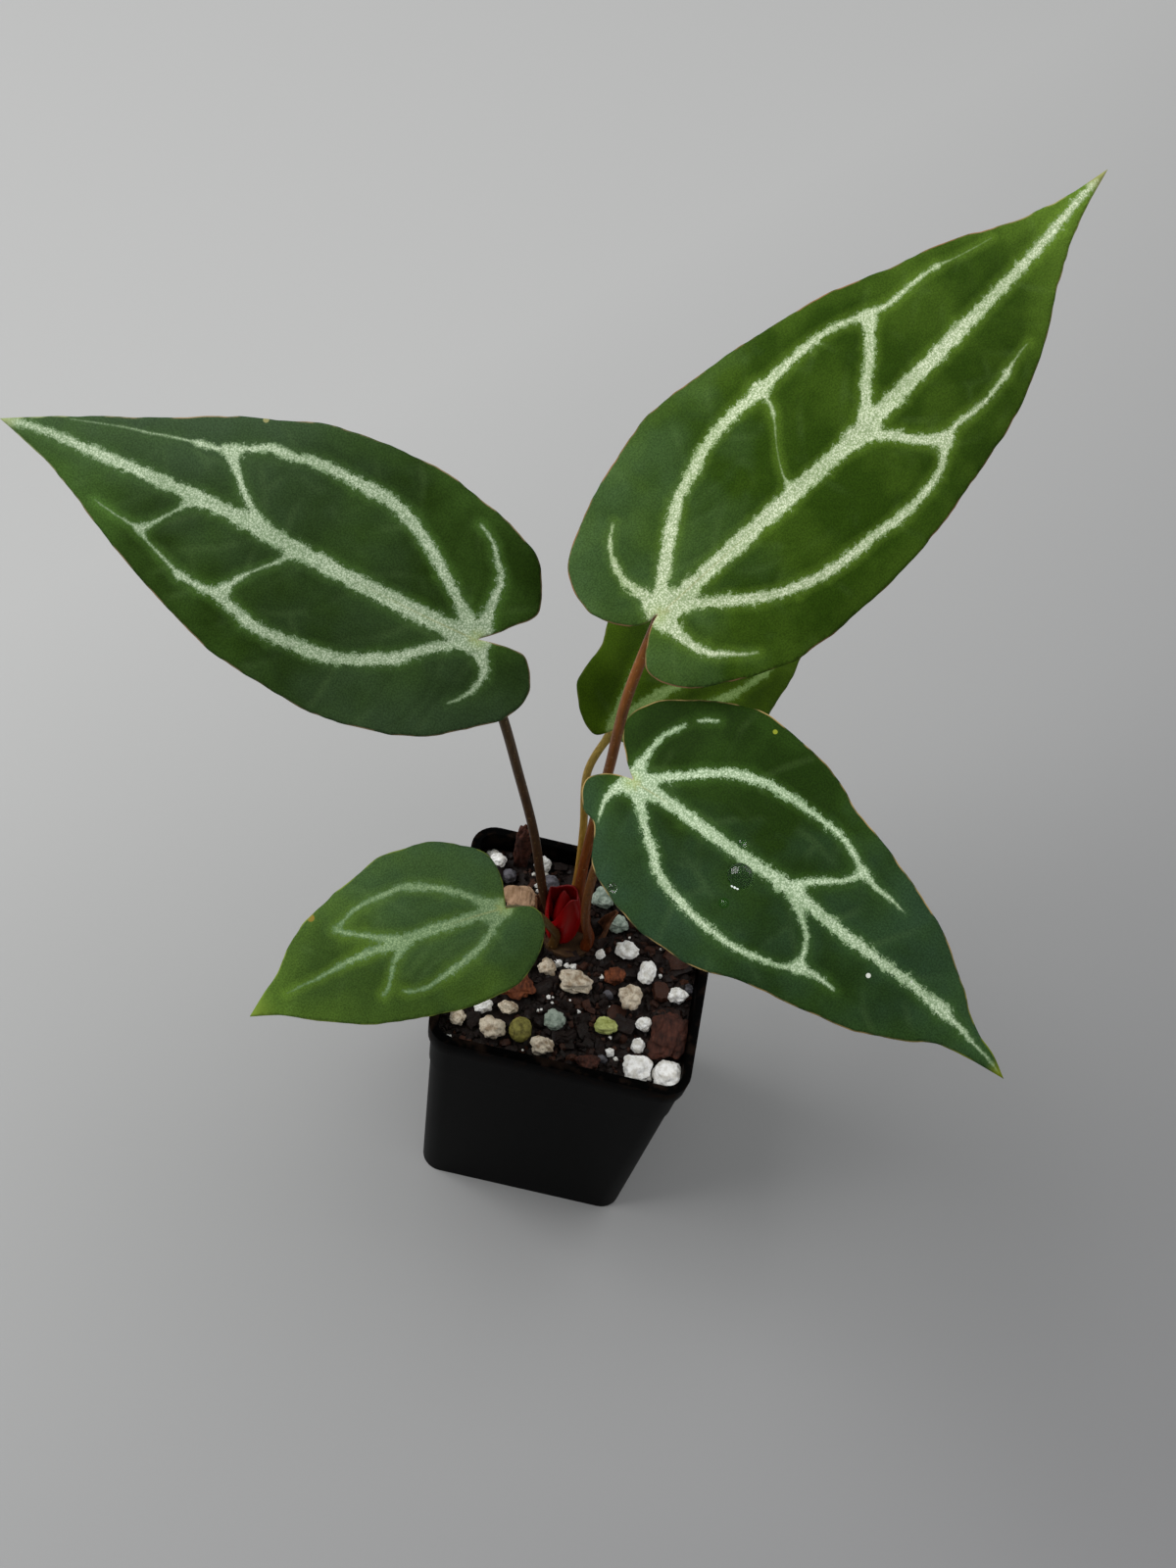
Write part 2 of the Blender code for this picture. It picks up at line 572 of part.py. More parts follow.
def chunk(name, finish, centre, size, turn, seed, squareness=0.0, tilt=0.0, detail=2):
    """A rough lump: a low sphere pushed towards a box by "squareness" and dented by noise."""
    bm = bmesh.new()
    bmesh.ops.create_icosphere(bm, subdivisions=detail, radius=1)
    offset = Vector((seed * 3.7, seed * 1.9, seed * 0.7))
    power = 1 - 0.55 * squareness
    for vert in bm.verts:
        corner = Vector([math.copysign(abs(c) ** power, c) for c in vert.co])
        corner = vert.co.lerp(corner, squareness)
        vert.co = corner * (1 + GRAIN_DENTS * noise.noise(vert.co * 1.6 + offset))
    matrix = (Matrix.Translation(centre) @ Matrix.Rotation(math.radians(turn), 4, "Z")
              @ Matrix.Rotation(math.radians(tilt), 4, "X")
              @ Matrix.Diagonal((size[0] / 2, size[1] / 2, size[2] / 2, 1)))
    bmesh.ops.transform(bm, matrix=matrix, verts=bm.verts)
    return place(name, bm, finish, smooth=False)


def build_mix():
    """The mix with its hole for the stem and roots, and the bark bits that stand out of it."""
    top_half = pot_half(MIX_LEVEL) - POT_WALL - GAP
    foot_z = POT_FLOOR + GAP
    foot_half = pot_half(foot_z) - POT_WALL - GAP
    outline = [p.to_2d() for p in rounded_square(top_half, pot_corner(MIX_LEVEL) - POT_WALL - GAP, 0)]
    sides = []
    for a, b in zip(outline, outline[1:] + outline[:1]):
        pieces = max(1, round((b - a).length / (2 * MIX_MESH)))
        sides += [a.lerp(b, i / pieces) for i in range(pieces)]
    points, triangles = triangle_sheet(sides, MIX_MESH)
    bm = bmesh.new()
    verts = [bm.verts.new((p.x, p.y, mix_height(p.x, p.y, outline))) for p in points]
    for triangle in triangles:
        bm.faces.new([verts[i] for i in triangle])
    extruded = bmesh.ops.extrude_face_region(bm, geom=bm.faces[:])["geom"]
    for vert in [item for item in extruded if isinstance(item, bmesh.types.BMVert)]:
        vert.co = Vector((vert.co.x * foot_half / top_half, vert.co.y * foot_half / top_half, foot_z))
    bmesh.ops.dissolve_faces(bm, faces=[f for f in extruded if isinstance(f, bmesh.types.BMFace)])
    mix = place("potting_mix", bm, "bark_mix", smooth=False)

    draw = random.Random(11)
    bits = []
    while len(bits) < BARK_BITS:
        spot = Vector([draw.uniform(-1, 1) * (top_half - 3.2 * MM) for _ in range(2)])
        size = [draw.uniform(*BARK_BIT_SIZE) for _ in range(3)]
        reach = 0.62 * max(size[:2])
        clear = (spot - CROWN.to_2d()).length > CROWN_CLEARANCE + reach
        clear = clear and edge_distance(spot, outline) > reach
        for _, _, place_2d, grain_size, _ in GRAINS:
            grain_reach = 0.5 * max(grain_size[:2]) * MM
            clear = clear and (spot - Vector(place_2d) * MM).length > grain_reach + 0.8 * reach
        if clear:
            centre = Vector((*spot, mix_height(*spot, outline) - BARK_BIT_SINK * size[2]))
            bits.append(chunk("bark_bit", "bark_mix", centre, size, draw.uniform(0, 180),
                              len(bits), 0.6, draw.uniform(-BARK_BIT_TILT, BARK_BIT_TILT), detail=1))
    cut(mix, bits, "UNION")
    above_mix = 12 * MM
    cut(mix, stem_shapes(1.2 * GAP, above_mix))
    return BVHTree.FromPolygons([v.co for v in mix.data.vertices],
                                [p.vertices for p in mix.data.polygons])


def seat_height(surface, spot, reach):
    """The highest point of the mix under a round footprint, with the gap that a loose piece keeps."""
    heights = []
    rings, steps = 5, 16
    for ring in range(rings):
        for step in range(steps):
            angle = 2 * math.pi * step / steps
            out = reach * ring / (rings - 1)
            above = Vector((spot.x + out * math.cos(angle), spot.y + out * math.sin(angle), POT_HEIGHT))
            hit = surface.ray_cast(above, Vector((0, 0, -1)))[0]
            if hit:
                heights.append(hit.z)
    return max(heights) + GAP


def build_grains(surface):
    """Loose grains, each with its underside bedded flat on the mix."""
    for number, (name, finish, spot, size, turn) in enumerate(GRAINS):
        size = [s * MM for s in size]
        spot = Vector(spot) * MM
        seat = seat_height(surface, spot, 0.5 * max(size[:2]))
        square = 0.9 if "bark" in finish or finish == "chip" else 0.15
        centre = Vector((*spot, seat + GRAIN_SINK * size[2]))
        detail = 2 if max(size) > SMALL_GRAIN else 1
        grain = chunk(name, finish, centre, size, turn, number + 20, square, detail=detail)
        bm = bmesh.new()
        bm.from_mesh(grain.data)
        bmesh.ops.bisect_plane(bm, geom=[*bm.verts, *bm.edges, *bm.faces], plane_co=(0, 0, seat),
                               plane_no=(0, 0, -1), clear_outer=True)
        bmesh.ops.holes_fill(bm, edges=[e for e in bm.edges if e.is_boundary])
        bmesh.ops.recalc_face_normals(bm, faces=bm.faces)
        bm.to_mesh(grain.data)
        bm.free()


def build_red_sheath():
    """The pointed sheath round the new growth."""
    foot = Vector((RED_SHEATH["foot"][0] * MM, RED_SHEATH["foot"][1] * MM, CROWN.z + GAP))
    lean = Vector((RED_SHEATH["lean"][0] * MM, RED_SHEATH["lean"][1] * MM, 0))
    rings = []
    for t, width in SHEATH_OUTLINE:
        centre = foot + Vector((0, 0, RED_SHEATH["height"] * MM * t)) + lean * t * t
        ring = []
        for k in range(SHEATH_SIDES):
            angle = 2 * math.pi * k / SHEATH_SIDES
            fold = 1 - SHEATH_FOLD * (k == 0)
            ring.append(centre + Vector((RED_SHEATH["radii"][0] * MM * width * fold * math.cos(angle),
                                         RED_SHEATH["radii"][1] * MM * width * fold * math.sin(angle), 0)))
        rings.append(ring)
    place("red_sheath", loft(rings), "red_sheath")


def build_old_sheath(number, sheath, surface):
    """A curled dry scale that stands at the edge of the crown."""
    rows, columns = 5, 4
    spot = Vector(sheath["foot"]) * MM
    seat = max(seat_height(surface, spot, sheath["width"] / 2 * MM), CROWN.z + GAP)
    foot = Vector((*spot, seat + 0.2 * OLD_SHEATH_THICKNESS))
    turn = Matrix.Rotation(math.radians(sheath["turn"]), 3, "Z")
    bm = bmesh.new()
    grid = []
    for row in range(rows + 1):
        t = row / rows
        half = sheath["width"] / 2 * MM * (1 - 0.8 * t ** 1.6)
        line = []
        for column in range(columns + 1):
            s = 2 * column / columns - 1
            out = sheath["lean"] * MM * t * t - OLD_SHEATH_CURL * s * s * (1 - 0.7 * t)
            line.append(bm.verts.new(foot + turn @ Vector((out, s * half, sheath["height"] * MM * t))))
        grid.append(line)
    for low, high in zip(grid, grid[1:]):
        for i in range(columns):
            bm.faces.new((low[i], low[i + 1], high[i + 1]))
            bm.faces.new((low[i], high[i + 1], high[i]))
    obj = place(f"old_sheath_{number}", bm, "old_sheath")
    thickness = obj.modifiers.new("thickness", "SOLIDIFY")
    thickness.thickness = OLD_SHEATH_THICKNESS
    thickness.offset = 0


def clear_scene():
    """Removes what the scene starts with."""
    for obj in list(bpy.data.objects):
        bpy.data.objects.remove(obj)


clear_scene()
build_pot()
mix_surface = build_mix()
build_stem()
build_grains(mix_surface)
build_red_sheath()
for index, old_sheath in enumerate(OLD_SHEATHS):
    build_old_sheath(index + 1, old_sheath, mix_surface)
for leaf_name, leaf_shape in LEAVES.items():
    build_blade(leaf_name, leaf_shape)
    build_petiole(leaf_name, leaf_shape)
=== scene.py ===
"""The looks of a young velvet-leaved anthurium in its square nursery pot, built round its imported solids.

Lengths are in metres, or in millimetres or percent where a comment says so. The pot stands on z = 0, +Z is
up, and the side with the lower leaves faces -Y.
"""

import functools
import math
import random

import bmesh
import bpy
import numpy as np
from mathutils import Euler, Matrix, Vector, noise
from mathutils.geometry import delaunay_2d_cdt


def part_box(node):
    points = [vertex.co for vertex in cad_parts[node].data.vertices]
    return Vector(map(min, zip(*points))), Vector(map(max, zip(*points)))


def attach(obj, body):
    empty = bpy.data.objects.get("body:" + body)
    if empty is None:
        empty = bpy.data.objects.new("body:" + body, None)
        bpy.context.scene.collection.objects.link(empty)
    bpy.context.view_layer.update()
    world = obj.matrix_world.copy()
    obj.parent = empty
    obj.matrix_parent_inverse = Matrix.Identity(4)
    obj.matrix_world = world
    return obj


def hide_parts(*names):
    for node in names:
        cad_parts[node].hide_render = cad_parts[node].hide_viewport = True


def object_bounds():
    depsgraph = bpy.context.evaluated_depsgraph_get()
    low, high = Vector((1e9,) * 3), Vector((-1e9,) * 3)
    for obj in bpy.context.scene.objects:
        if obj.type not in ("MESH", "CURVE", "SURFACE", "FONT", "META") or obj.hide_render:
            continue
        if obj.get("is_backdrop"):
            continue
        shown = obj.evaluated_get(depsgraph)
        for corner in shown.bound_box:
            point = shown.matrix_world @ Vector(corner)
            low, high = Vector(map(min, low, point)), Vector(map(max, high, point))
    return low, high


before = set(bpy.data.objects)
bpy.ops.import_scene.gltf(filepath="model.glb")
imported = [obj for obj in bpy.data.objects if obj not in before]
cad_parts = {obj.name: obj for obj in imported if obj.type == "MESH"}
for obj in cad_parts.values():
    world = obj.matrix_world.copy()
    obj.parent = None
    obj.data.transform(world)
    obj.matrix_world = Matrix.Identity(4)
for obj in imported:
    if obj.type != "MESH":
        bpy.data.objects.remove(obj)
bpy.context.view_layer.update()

# Nursery pot
# A thin square tub of black polypropylene, injection moulded in one piece: walls that widen upwards to a
# turned-out rim, and a foot with four drain holes. Near the rim it is browner in smeared patches.
MM = 0.001
_, pot_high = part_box("nursery_pot")
POT_FOOT_HALF = 26.5 * MM
RIM_LIP = 1.0 * MM
LEDGE_SHARE = 0.3
RIM_DEPTH = 6 * MM
WALL = 1.2 * MM
FLOOR = 1.6 * MM
CORNER_RADIUS = 5.2 * MM
CORNER_STEPS = 8
LEDGE_Z = 58 * MM
FOOT_RECESS = 0.7 * MM
FOOT_RING = 3 * MM
DRAIN_HOLE_RADIUS = 4 * MM
DRAIN_HOLE_OFFSET = 14 * MM
EDGE_BEVEL = 0.45 * MM
BEVEL_ANGLE, SMOOTH_ANGLE = math.radians(50), math.radians(35)


def linear(code):
    """An sRGB colour such as "2B4812" as linear red, green, blue and alpha."""
    shares = [int(code[i:i + 2], 16) / 255 for i in (0, 2, 4)]
    return (*[s / 12.92 if s <= 0.04045 else ((s + 0.055) / 1.055) ** 2.4 for s in shares], 1)


def give_inputs(node, inputs):
    """Gives a node its inputs, by name or in the order of those in use: values, or outputs of other nodes."""
    if not isinstance(inputs, dict):
        inputs = dict(zip([number for number, socket in enumerate(node.inputs) if socket.enabled], inputs))
    for name, value in inputs.items():
        if isinstance(value, bpy.types.NodeSocket):
            node.id_data.links.new(value, node.inputs[name])
        else:
            node.inputs[name].default_value = value


def add_node(tree, kind, inputs=(), out=None, **settings):
    """Adds a node with its settings and inputs, and returns its output of this name, or the first in use."""
    node = tree.nodes.new("ShaderNode" + kind)
    for name, value in settings.items():
        setattr(node, name, value)
    give_inputs(node, inputs)
    return node.outputs[out] if out else next(socket for socket in node.outputs if socket.enabled)


def new_material(name, **values):
    """A Principled material with the values that hold all over it, its shader, and add_node for its tree."""
    material = bpy.data.materials.new(name)
    material.use_nodes = True
    shader = material.node_tree.nodes["Principled BSDF"]
    give_inputs(shader, {key.replace("_", " "): value for key, value in values.items()})
    return material, shader, functools.partial(add_node, material.node_tree)


def select_only(obj=None):
    """Leaves edit mode, and makes the object, if any, the only one selected."""
    if bpy.context.mode != "OBJECT":
        bpy.ops.object.mode_set(mode="OBJECT")
    bpy.ops.object.select_all(action="DESELECT")
    if obj:
        obj.select_set(True)
        bpy.context.view_layer.objects.active = obj


def edit(obj):
    """Starts editing an object, and nothing else."""
    select_only(obj)
    bpy.ops.object.mode_set(mode="EDIT")


def select_faces(obj, wanted):
    """Selects just the faces whose middle and normal pass the test. The object is being edited."""
    bpy.ops.mesh.select_mode(type="FACE")
    bpy.ops.mesh.select_all(action="DESELECT")
    shape = bmesh.from_edit_mesh(obj.data)
    for face in shape.faces:
        face.select_set(bool(wanted(face.calc_center_median(), face.normal)))
    bmesh.update_edit_mesh(obj.data)


def apply_modifier(obj, kind, **settings):
    """Adds a modifier with these settings, and applies it."""
    select_only(obj)
    modifier = obj.modifiers.new(kind.lower(), kind)
    for name, value in settings.items():
        setattr(modifier, name, value)
    bpy.ops.object.modifier_apply(modifier=modifier.name)


def mesh_object(points, faces, **attributes):
    """An object from points and faces. Its points carry the attributes: numbers, or rows of three numbers."""
    mesh = bpy.data.meshes.new("mesh")
    mesh.from_pydata(points, [], faces)
    for name, values in attributes.items():
        kind, key = ("FLOAT", "value") if np.ndim(values) == 1 else ("FLOAT_VECTOR", "vector")
        mesh.attributes.new(name, kind, "POINT").data.foreach_set(key, np.ravel(values))
    obj = bpy.data.objects.new("mesh", mesh)
    bpy.context.scene.collection.objects.link(obj)
    return obj


def finish_piece(obj, name, material, nodes=(), smooth=True):
    """Names a piece, gives it its material, and hides the solids that it stands for."""
    if smooth:
        obj.data.shade_smooth()
    obj.name = name
    obj.data.name = name
    obj.data.materials.clear()
    obj.data.materials.append(material)
    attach(obj, "root")
    if nodes:
        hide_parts(*nodes)


pot_top_half = pot_high.x - RIM_LIP
bpy.ops.mesh.primitive_cube_add(size=1, location=(0, 0, pot_high.z / 2))
pot = bpy.context.object
pot.scale = (2 * POT_FOOT_HALF, 2 * POT_FOOT_HALF, pot_high.z)
bpy.ops.object.transform_apply(location=True, rotation=True, scale=True)
edit(pot)
select_faces(pot, lambda middle, normal: normal.z > 0.9)
widen = pot_top_half / POT_FOOT_HALF
bpy.ops.transform.resize(value=(widen, widen, 1))
bpy.ops.mesh.select_mode(type="EDGE")
bpy.ops.mesh.select_all(action="DESELECT")
shape = bmesh.from_edit_mesh(pot.data)
for edge in shape.edges:
    edge.select_set(abs(edge.verts[0].co.z - edge.verts[1].co.z) > pot_high.z / 2)
bmesh.update_edit_mesh(pot.data)
bpy.ops.mesh.bevel(offset=CORNER_RADIUS, segments=CORNER_STEPS, affect="EDGES")
for cut_z in (LEDGE_Z, pot_high.z - RIM_DEPTH):
    bpy.ops.mesh.select_all(action="SELECT")
    bpy.ops.mesh.bisect(plane_co=(0, 0, cut_z), plane_no=(0, 0, 1))
# The rim stands out from the wall, and the band between ledge and rim about a third as far.
for low_z, out in ((LEDGE_Z, LEDGE_SHARE * RIM_LIP), (pot_high.z - RIM_DEPTH, (1 - LEDGE_SHARE) * RIM_LIP)):
    select_faces(pot, lambda middle, normal: abs(normal.z) < 0.5 and low_z < middle.z < pot_high.z)
    bpy.ops.mesh.extrude_region_shrink_fatten(TRANSFORM_OT_shrink_fatten={"value": out})
select_faces(pot, lambda middle, normal: normal.z > 0.9 and middle.xy.length < 1 * MM)
bpy.ops.mesh.inset(thickness=WALL)
bpy.ops.mesh.extrude_region_move(TRANSFORM_OT_translate={"value": (0, 0, FLOOR - pot_high.z)})
narrow = (POT_FOOT_HALF - WALL) / (pot_top_half - WALL)
bpy.ops.transform.resize(value=(narrow, narrow, 1))
select_faces(pot, lambda middle, normal: normal.z < -0.9 and middle.z < 1 * MM)
bpy.ops.mesh.inset(thickness=FOOT_RING)
bpy.ops.mesh.extrude_region_move(TRANSFORM_OT_translate={"value": (0, 0, FOOT_RECESS)})
select_only()
for side_x, side_y in ((-1, -1), (-1, 1), (1, -1), (1, 1)):
    bpy.ops.mesh.primitive_cylinder_add(
        vertices=32, radius=DRAIN_HOLE_RADIUS, depth=4 * FLOOR,
        location=(side_x * DRAIN_HOLE_OFFSET, side_y * DRAIN_HOLE_OFFSET, 0))
    drill = bpy.context.object
    apply_modifier(pot, "BOOLEAN", operation="DIFFERENCE", object=drill)
    bpy.data.objects.remove(drill)
apply_modifier(pot, "BEVEL", width=EDGE_BEVEL, segments=3, limit_method="ANGLE", angle_limit=BEVEL_ANGLE)
bpy.ops.object.shade_smooth_by_angle(angle=SMOOTH_ANGLE)

# Black polypropylene from a satin-finished mould: deep black with hardly any gloss, a very fine grain, and a
# rim that is browner and rougher in smeared patches. The grain of about 0.1 mm is drawn at 0.5 mm so that it
# shows.
black_polypropylene, shader, add = new_material("black_polypropylene", Specular_IOR_Level=0.015, IOR=1.49)
place = add("TexCoord", out="Object")
height = add("SeparateXYZ", (place,), "Z")
smears = add("TexNoise", (place, 1 / (4 * MM), 6))
at_rim = add("MapRange", (height, 69 * MM, 75.5 * MM))
rim_browning = add("MapRange", (smears, 0.5, 0.72, 0, 0.6))
rim_browning = add("Math", (rim_browning, at_rim), operation="MULTIPLY")
colour = add("Mix", (rim_browning, linear("020202"), linear("2A1E17")), data_type="RGBA")
gloss = add("MapRange", (rim_browning, 0, 1, 0.4, 0.9))
grain = add("TexNoise", (place, 1 / (0.5 * MM), 2))
relief = add("Bump", {"Height": grain, "Strength": 0.1, "Distance": 0.05 * MM})
give_inputs(shader, {"Base Color": colour, "Roughness": gloss, "Normal": relief})
finish_piece(pot, "nursery_pot_moulded", black_polypropylene, ["nursery_pot"], smooth=False)

# Potting mix
# Composted bark, damp and almost black, filled in loose to a few millimetres below the rim. Its top is all
# broken pieces, from crumbs to chips as wide as a fingernail, and between them one looks into dark gaps.
mix_low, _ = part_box("potting_mix")
MIX_LEVEL = 70.2 * MM
MIX_HALF = 30.3 * MM
MIX_FOOT_HALF = 25.2 * MM
MIX_CORNER = 4.6 * MM
MIX_CELLS = 120
CROWN = Vector((-3.5 * MM, 8.6 * MM, 71.4 * MM))
# The mix swells and sinks by this height in mm, over this size in mm, in a pattern of this number.
SWELLS = ((0.7, 9, 0), (0.5, 2.4, 5), (0.22, 0.9, 9))
CHIP_SHAPES = 9
# How many chips, their least and greatest size in mm, and the cuts that give them their shape.
CHIP_SIZES = ((90, 3.2, 6.0, 3), (420, 1.6, 3.2, 1), (1300, 0.7, 1.7, 1))
# The chips keep off the wall, out of the pot's round corners, and off the crown.
WALL_ROOM, CORNER_ROOM, CROWN_ROOM = 0.6 * MM, 5 * MM, 3.2 * MM
GRAIN_HUG = 0.35
LOOSE = ("perlite", "pumice", "wood_chip", "bark_chunk", "clay_pellet", "green_grain", "zeolite", "stone")


def ground(x, y):
    """Height of the mix at a place: low swells with smaller lumps on them."""
    return MIX_LEVEL + MM * sum(height * noise.noise(Vector((x, y, number * MM)) / (size * MM))
                                for height, size, number in SWELLS)


def round_the_corners(x, y, half, radius):
    """Draws a point of a square in, so that the square's corners become round."""
    far = max(abs(x), abs(y))
    if far < 1e-9:
        return x, y
    ex, ey = abs(x) / far * half, abs(y) / far * half
    flat = half - radius
    if ex > flat and ey > flat:
        angle = math.atan2(ey - flat, ex - flat)
        corner = math.hypot(flat + radius * math.cos(angle), flat + radius * math.sin(angle))
        share = 1 + (corner / math.hypot(ex, ey) - 1) * (far / half) ** 3
        return x * share, y * share
    return x, y


bpy.ops.mesh.primitive_grid_add(
    x_subdivisions=MIX_CELLS, y_subdivisions=MIX_CELLS, size=2 * MIX_HALF, location=(0, 0, MIX_LEVEL))
mix = bpy.context.object
bpy.ops.object.transform_apply(location=True, rotation=True, scale=True)
edit(mix)
bpy.ops.mesh.select_all(action="SELECT")
bpy.ops.mesh.extrude_region_move(TRANSFORM_OT_translate={"value": (0, 0, mix_low.z - MIX_LEVEL)})
bpy.ops.mesh.select_all(action="SELECT")
bpy.ops.mesh.normals_make_consistent(inside=False)
select_only()
for vert in mix.data.vertices:
    x, y = round_the_corners(vert.co.x, vert.co.y, MIX_HALF, MIX_CORNER)
    if vert.co.z > MIX_LEVEL / 2:
        vert.co = (x, y, ground(x, y))
    else:
        vert.co = (x * MIX_FOOT_HALF / MIX_HALF, y * MIX_FOOT_HALF / MIX_HALF, mix_low.z)
edit(mix)
select_faces(mix, lambda middle, normal: middle.z < MIX_LEVEL / 2 and normal.z < -0.9)
bpy.ops.mesh.dissolve_faces()
select_only()


def chip_shape(seed, cuts):
    """An angular chip in a unit box, as points and faces: a cube, cut up and shaken."""
    bpy.ops.mesh.primitive_cube_add(size=1)
    chip = bpy.context.object
    edit(chip)
    bpy.ops.mesh.subdivide(number_cuts=cuts)
    bpy.ops.mesh.select_all(action="SELECT")
    bpy.ops.transform.vertex_random(offset=0.13 if cuts == 1 else 0.07, uniform=0, normal=0.3, seed=seed)
    select_only()
    points = np.array([v.co for v in chip.data.vertices])
    points *= 1 - 0.16 * np.abs(points).sum(axis=1, keepdims=True) ** 1.5 / 1.5
    dent = Vector((seed * 1.7, seed * 0.9, 0))
    points *= np.array([[1 + 0.35 * noise.noise(Vector(p) * 1.8 + dent)] for p in points])
    faces = [list(p.vertices) for p in chip.data.polygons]
    bpy.data.objects.remove(chip)
    return points, faces


def gather(pieces):
    """One object from many small pieces, each a shape with its points moved into place and a tone."""
    points, faces, tones = [], [], []
    for (shape_points, shape_faces), matrix, tone in pieces:
        faces += [[len(points) + i for i in face] for face in shape_faces]
        points += (shape_points @ np.array(matrix.to_3x3()).T + np.array(matrix.translation)).tolist()
        tones += [tone] * len(shape_points)
    return mesh_object(points, faces, tone=tones)


def free_spot(draw, size):
    """A random place in the pot for a loose bit of this size, or None where a grain or the crown is."""
    room = MIX_HALF - WALL_ROOM - size / 2
    x, y = draw.uniform(-room, room), draw.uniform(-room, room)
    in_corner = [max(0, abs(c) - room + CORNER_ROOM) for c in (x, y)]
    taken = math.hypot(*in_corner) > CORNER_ROOM or math.dist((x, y), CROWN.xy) < CROWN_ROOM + size / 2
    if taken or any(math.dist((x, y), place) < reach + GRAIN_HUG * size for place, reach in grain_places):
        return None
    return x, y


grain_places = []
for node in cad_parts:
    if node.startswith(LOOSE):
        low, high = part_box(node)
        grain_places.append((((low + high) / 2).xy, 0.42 * max(high.x - low.x, high.y - low.y)))

draw = random.Random(5)
fine_shapes = [chip_shape(seed, 1) for seed in range(CHIP_SHAPES)]
coarse_shapes = [chip_shape(seed + 20, 3) for seed in range(CHIP_SHAPES)]
chips = []
for count, smallest, largest, cuts in CHIP_SIZES:
    placed = 0
    while placed < count:
        size = draw.uniform(smallest, largest) * MM
        spot = free_spot(draw, size)
        if spot is None:
            continue
        flat = draw.uniform(0.35, 0.7)
        turn = Euler((draw.gauss(0, 0.45), draw.gauss(0, 0.45), draw.uniform(0, 2 * math.pi))).to_matrix()
        matrix = turn @ Matrix.Diagonal((size, size * draw.uniform(0.5, 0.9), size * flat))
        rise = ground(*spot) + size * flat * draw.uniform(0.1, 0.4)
        matrix = Matrix.Translation((*spot, rise)) @ matrix.to_4x4()
        chips.append((draw.choice(coarse_shapes if cuts == 3 else fine_shapes), matrix, draw.random()))
        placed += 1

# Damp composted bark: dark red-brown fibres with a dull film of water, some chips fresh and orange-brown,
# some almost black. The fibres of about 0.1 mm are drawn at 0.4 mm.
damp_bark, shader, add = new_material("damp_bark", Specular_IOR_Level=0.25)
place = add("TexCoord", out="Object")
tone = add("Attribute", out="Fac", attribute_name="tone")
patches = add("TexNoise", (place, 1 / (1.6 * MM), 5))
fibres = add("TexNoise", (place, 1 / (0.4 * MM), 3))
fresh = add("MapRange", (tone, 0.70, 1.0, 0, 0.8))
dark = add("Mix", (patches, linear("080504"), linear("22130E")), data_type="RGBA")
light = add("Mix", (fibres, linear("26130D"), linear("5E3420")), data_type="RGBA")
colour = add("Mix", (fresh, dark, light), data_type="RGBA")
gloss = add("MapRange", (patches, 0.3, 0.7, 0.45, 0.85))
relief = add("Bump", {"Height": fibres, "Strength": 0.5, "Distance": 0.25 * MM})
give_inputs(shader, {"Base Color": colour, "Roughness": gloss, "Normal": relief})
finish_piece(mix, "potting_mix_bed", damp_bark, ["potting_mix"], smooth=False)
finish_piece(gather(chips), "bark_chips", damp_bark, smooth=False)

# Stem and roots
# The short stem ends at the crown, level with the mix, and thick fleshy roots go down from it into the mix.
# Both are buried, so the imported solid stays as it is, under a corky skin.
corky_skin, shader, add = new_material("corky_skin", Specular_IOR_Level=0.2)
place = add("TexCoord", out="Object")
cracks = add("TexNoise", (place, 1 / (1.5 * MM), 6))
colour = add("Mix", (cracks, linear("1D120C"), linear("5A4028")), data_type="RGBA")
relief = add("Bump", {"Height": cracks, "Strength": 0.6, "Distance": 0.4 * MM})
give_inputs(shader, {"Base Color": colour, "Roughness": 0.8, "Normal": relief})
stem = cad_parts["stem_and_roots"]
stem.data.materials.clear()
stem.data.materials.append(corky_skin)

# Loose grains
# What was mixed in or sprinkled on top: puffed white perlite, cream pumice, bark and wood chips, a fired
# clay pellet, pale green zeolite and small stones. Each lies bedded in the mix where its solid lies.
SUNK_SHARE = 0.35
WALL_GAP = 0.1 * MM
# Of each kind: slot, material, and how square, how dented and how puffed up it is, with the size of a puff.
GRAIN_KINDS = {
    "perlite": ("perlite", "puffed_perlite", 0.1, 0.30, 0.13, 0.42),
    "pumice": ("pumice", "cream_pumice", 0.2, 0.38, 0.05, 0.3),
    "wood_chip": ("wood_chip", "pale_wood", 0.45, 0.32, 0.03, 0.3),
    "bark_chunk": ("bark", "red_brown_bark", 0.35, 0.45, 0.06, 0.3),
    "clay_pellet": ("clay_olive", "olive_clay", 0.0, 0.12, 0.02, 0.3),
    "green_grain": ("grain_green", "lime_grit", 0.2, 0.22, 0.03, 0.3),
    "zeolite": ("zeolite", "pale_zeolite", 0.35, 0.3, 0.04, 0.3),
    "stone": ("stone", "grey_stone", 0.2, 0.2, 0.02, 0.3),
}
ORANGE_CHUNKS = ("bark_chunk_3", "bark_chunk_4")
# How far, in mm, three grains at the front corner bulge out past their solids towards the rim: to the lower
# and to the higher x and y.
BULGES = {"perlite_1": ((0, -1.4), (1.6, 0)), "perlite_2": ((0.6, -2.4), (3.4, 0)),
          "bark_chunk_1": ((-1.6, -3.2), (2.0, 1.6))}
# Smaller grains between the others: kind, place and size, in mm.
SMALL_GRAINS = (("stone", (28.2, 1.4), 3.2), ("stone", (9.2, -5.2), 3.0), ("stone", (10.6, -23.4), 3.0),
                ("perlite", (-4.6, 0.6), 2.6), ("perlite", (-0.6, 0.2), 2.2), ("perlite", (-26.2, 27.4), 3.4),
                ("perlite", (22.8, 2.4), 2.4), ("pumice", (-20.6, 9.0), 3.4))


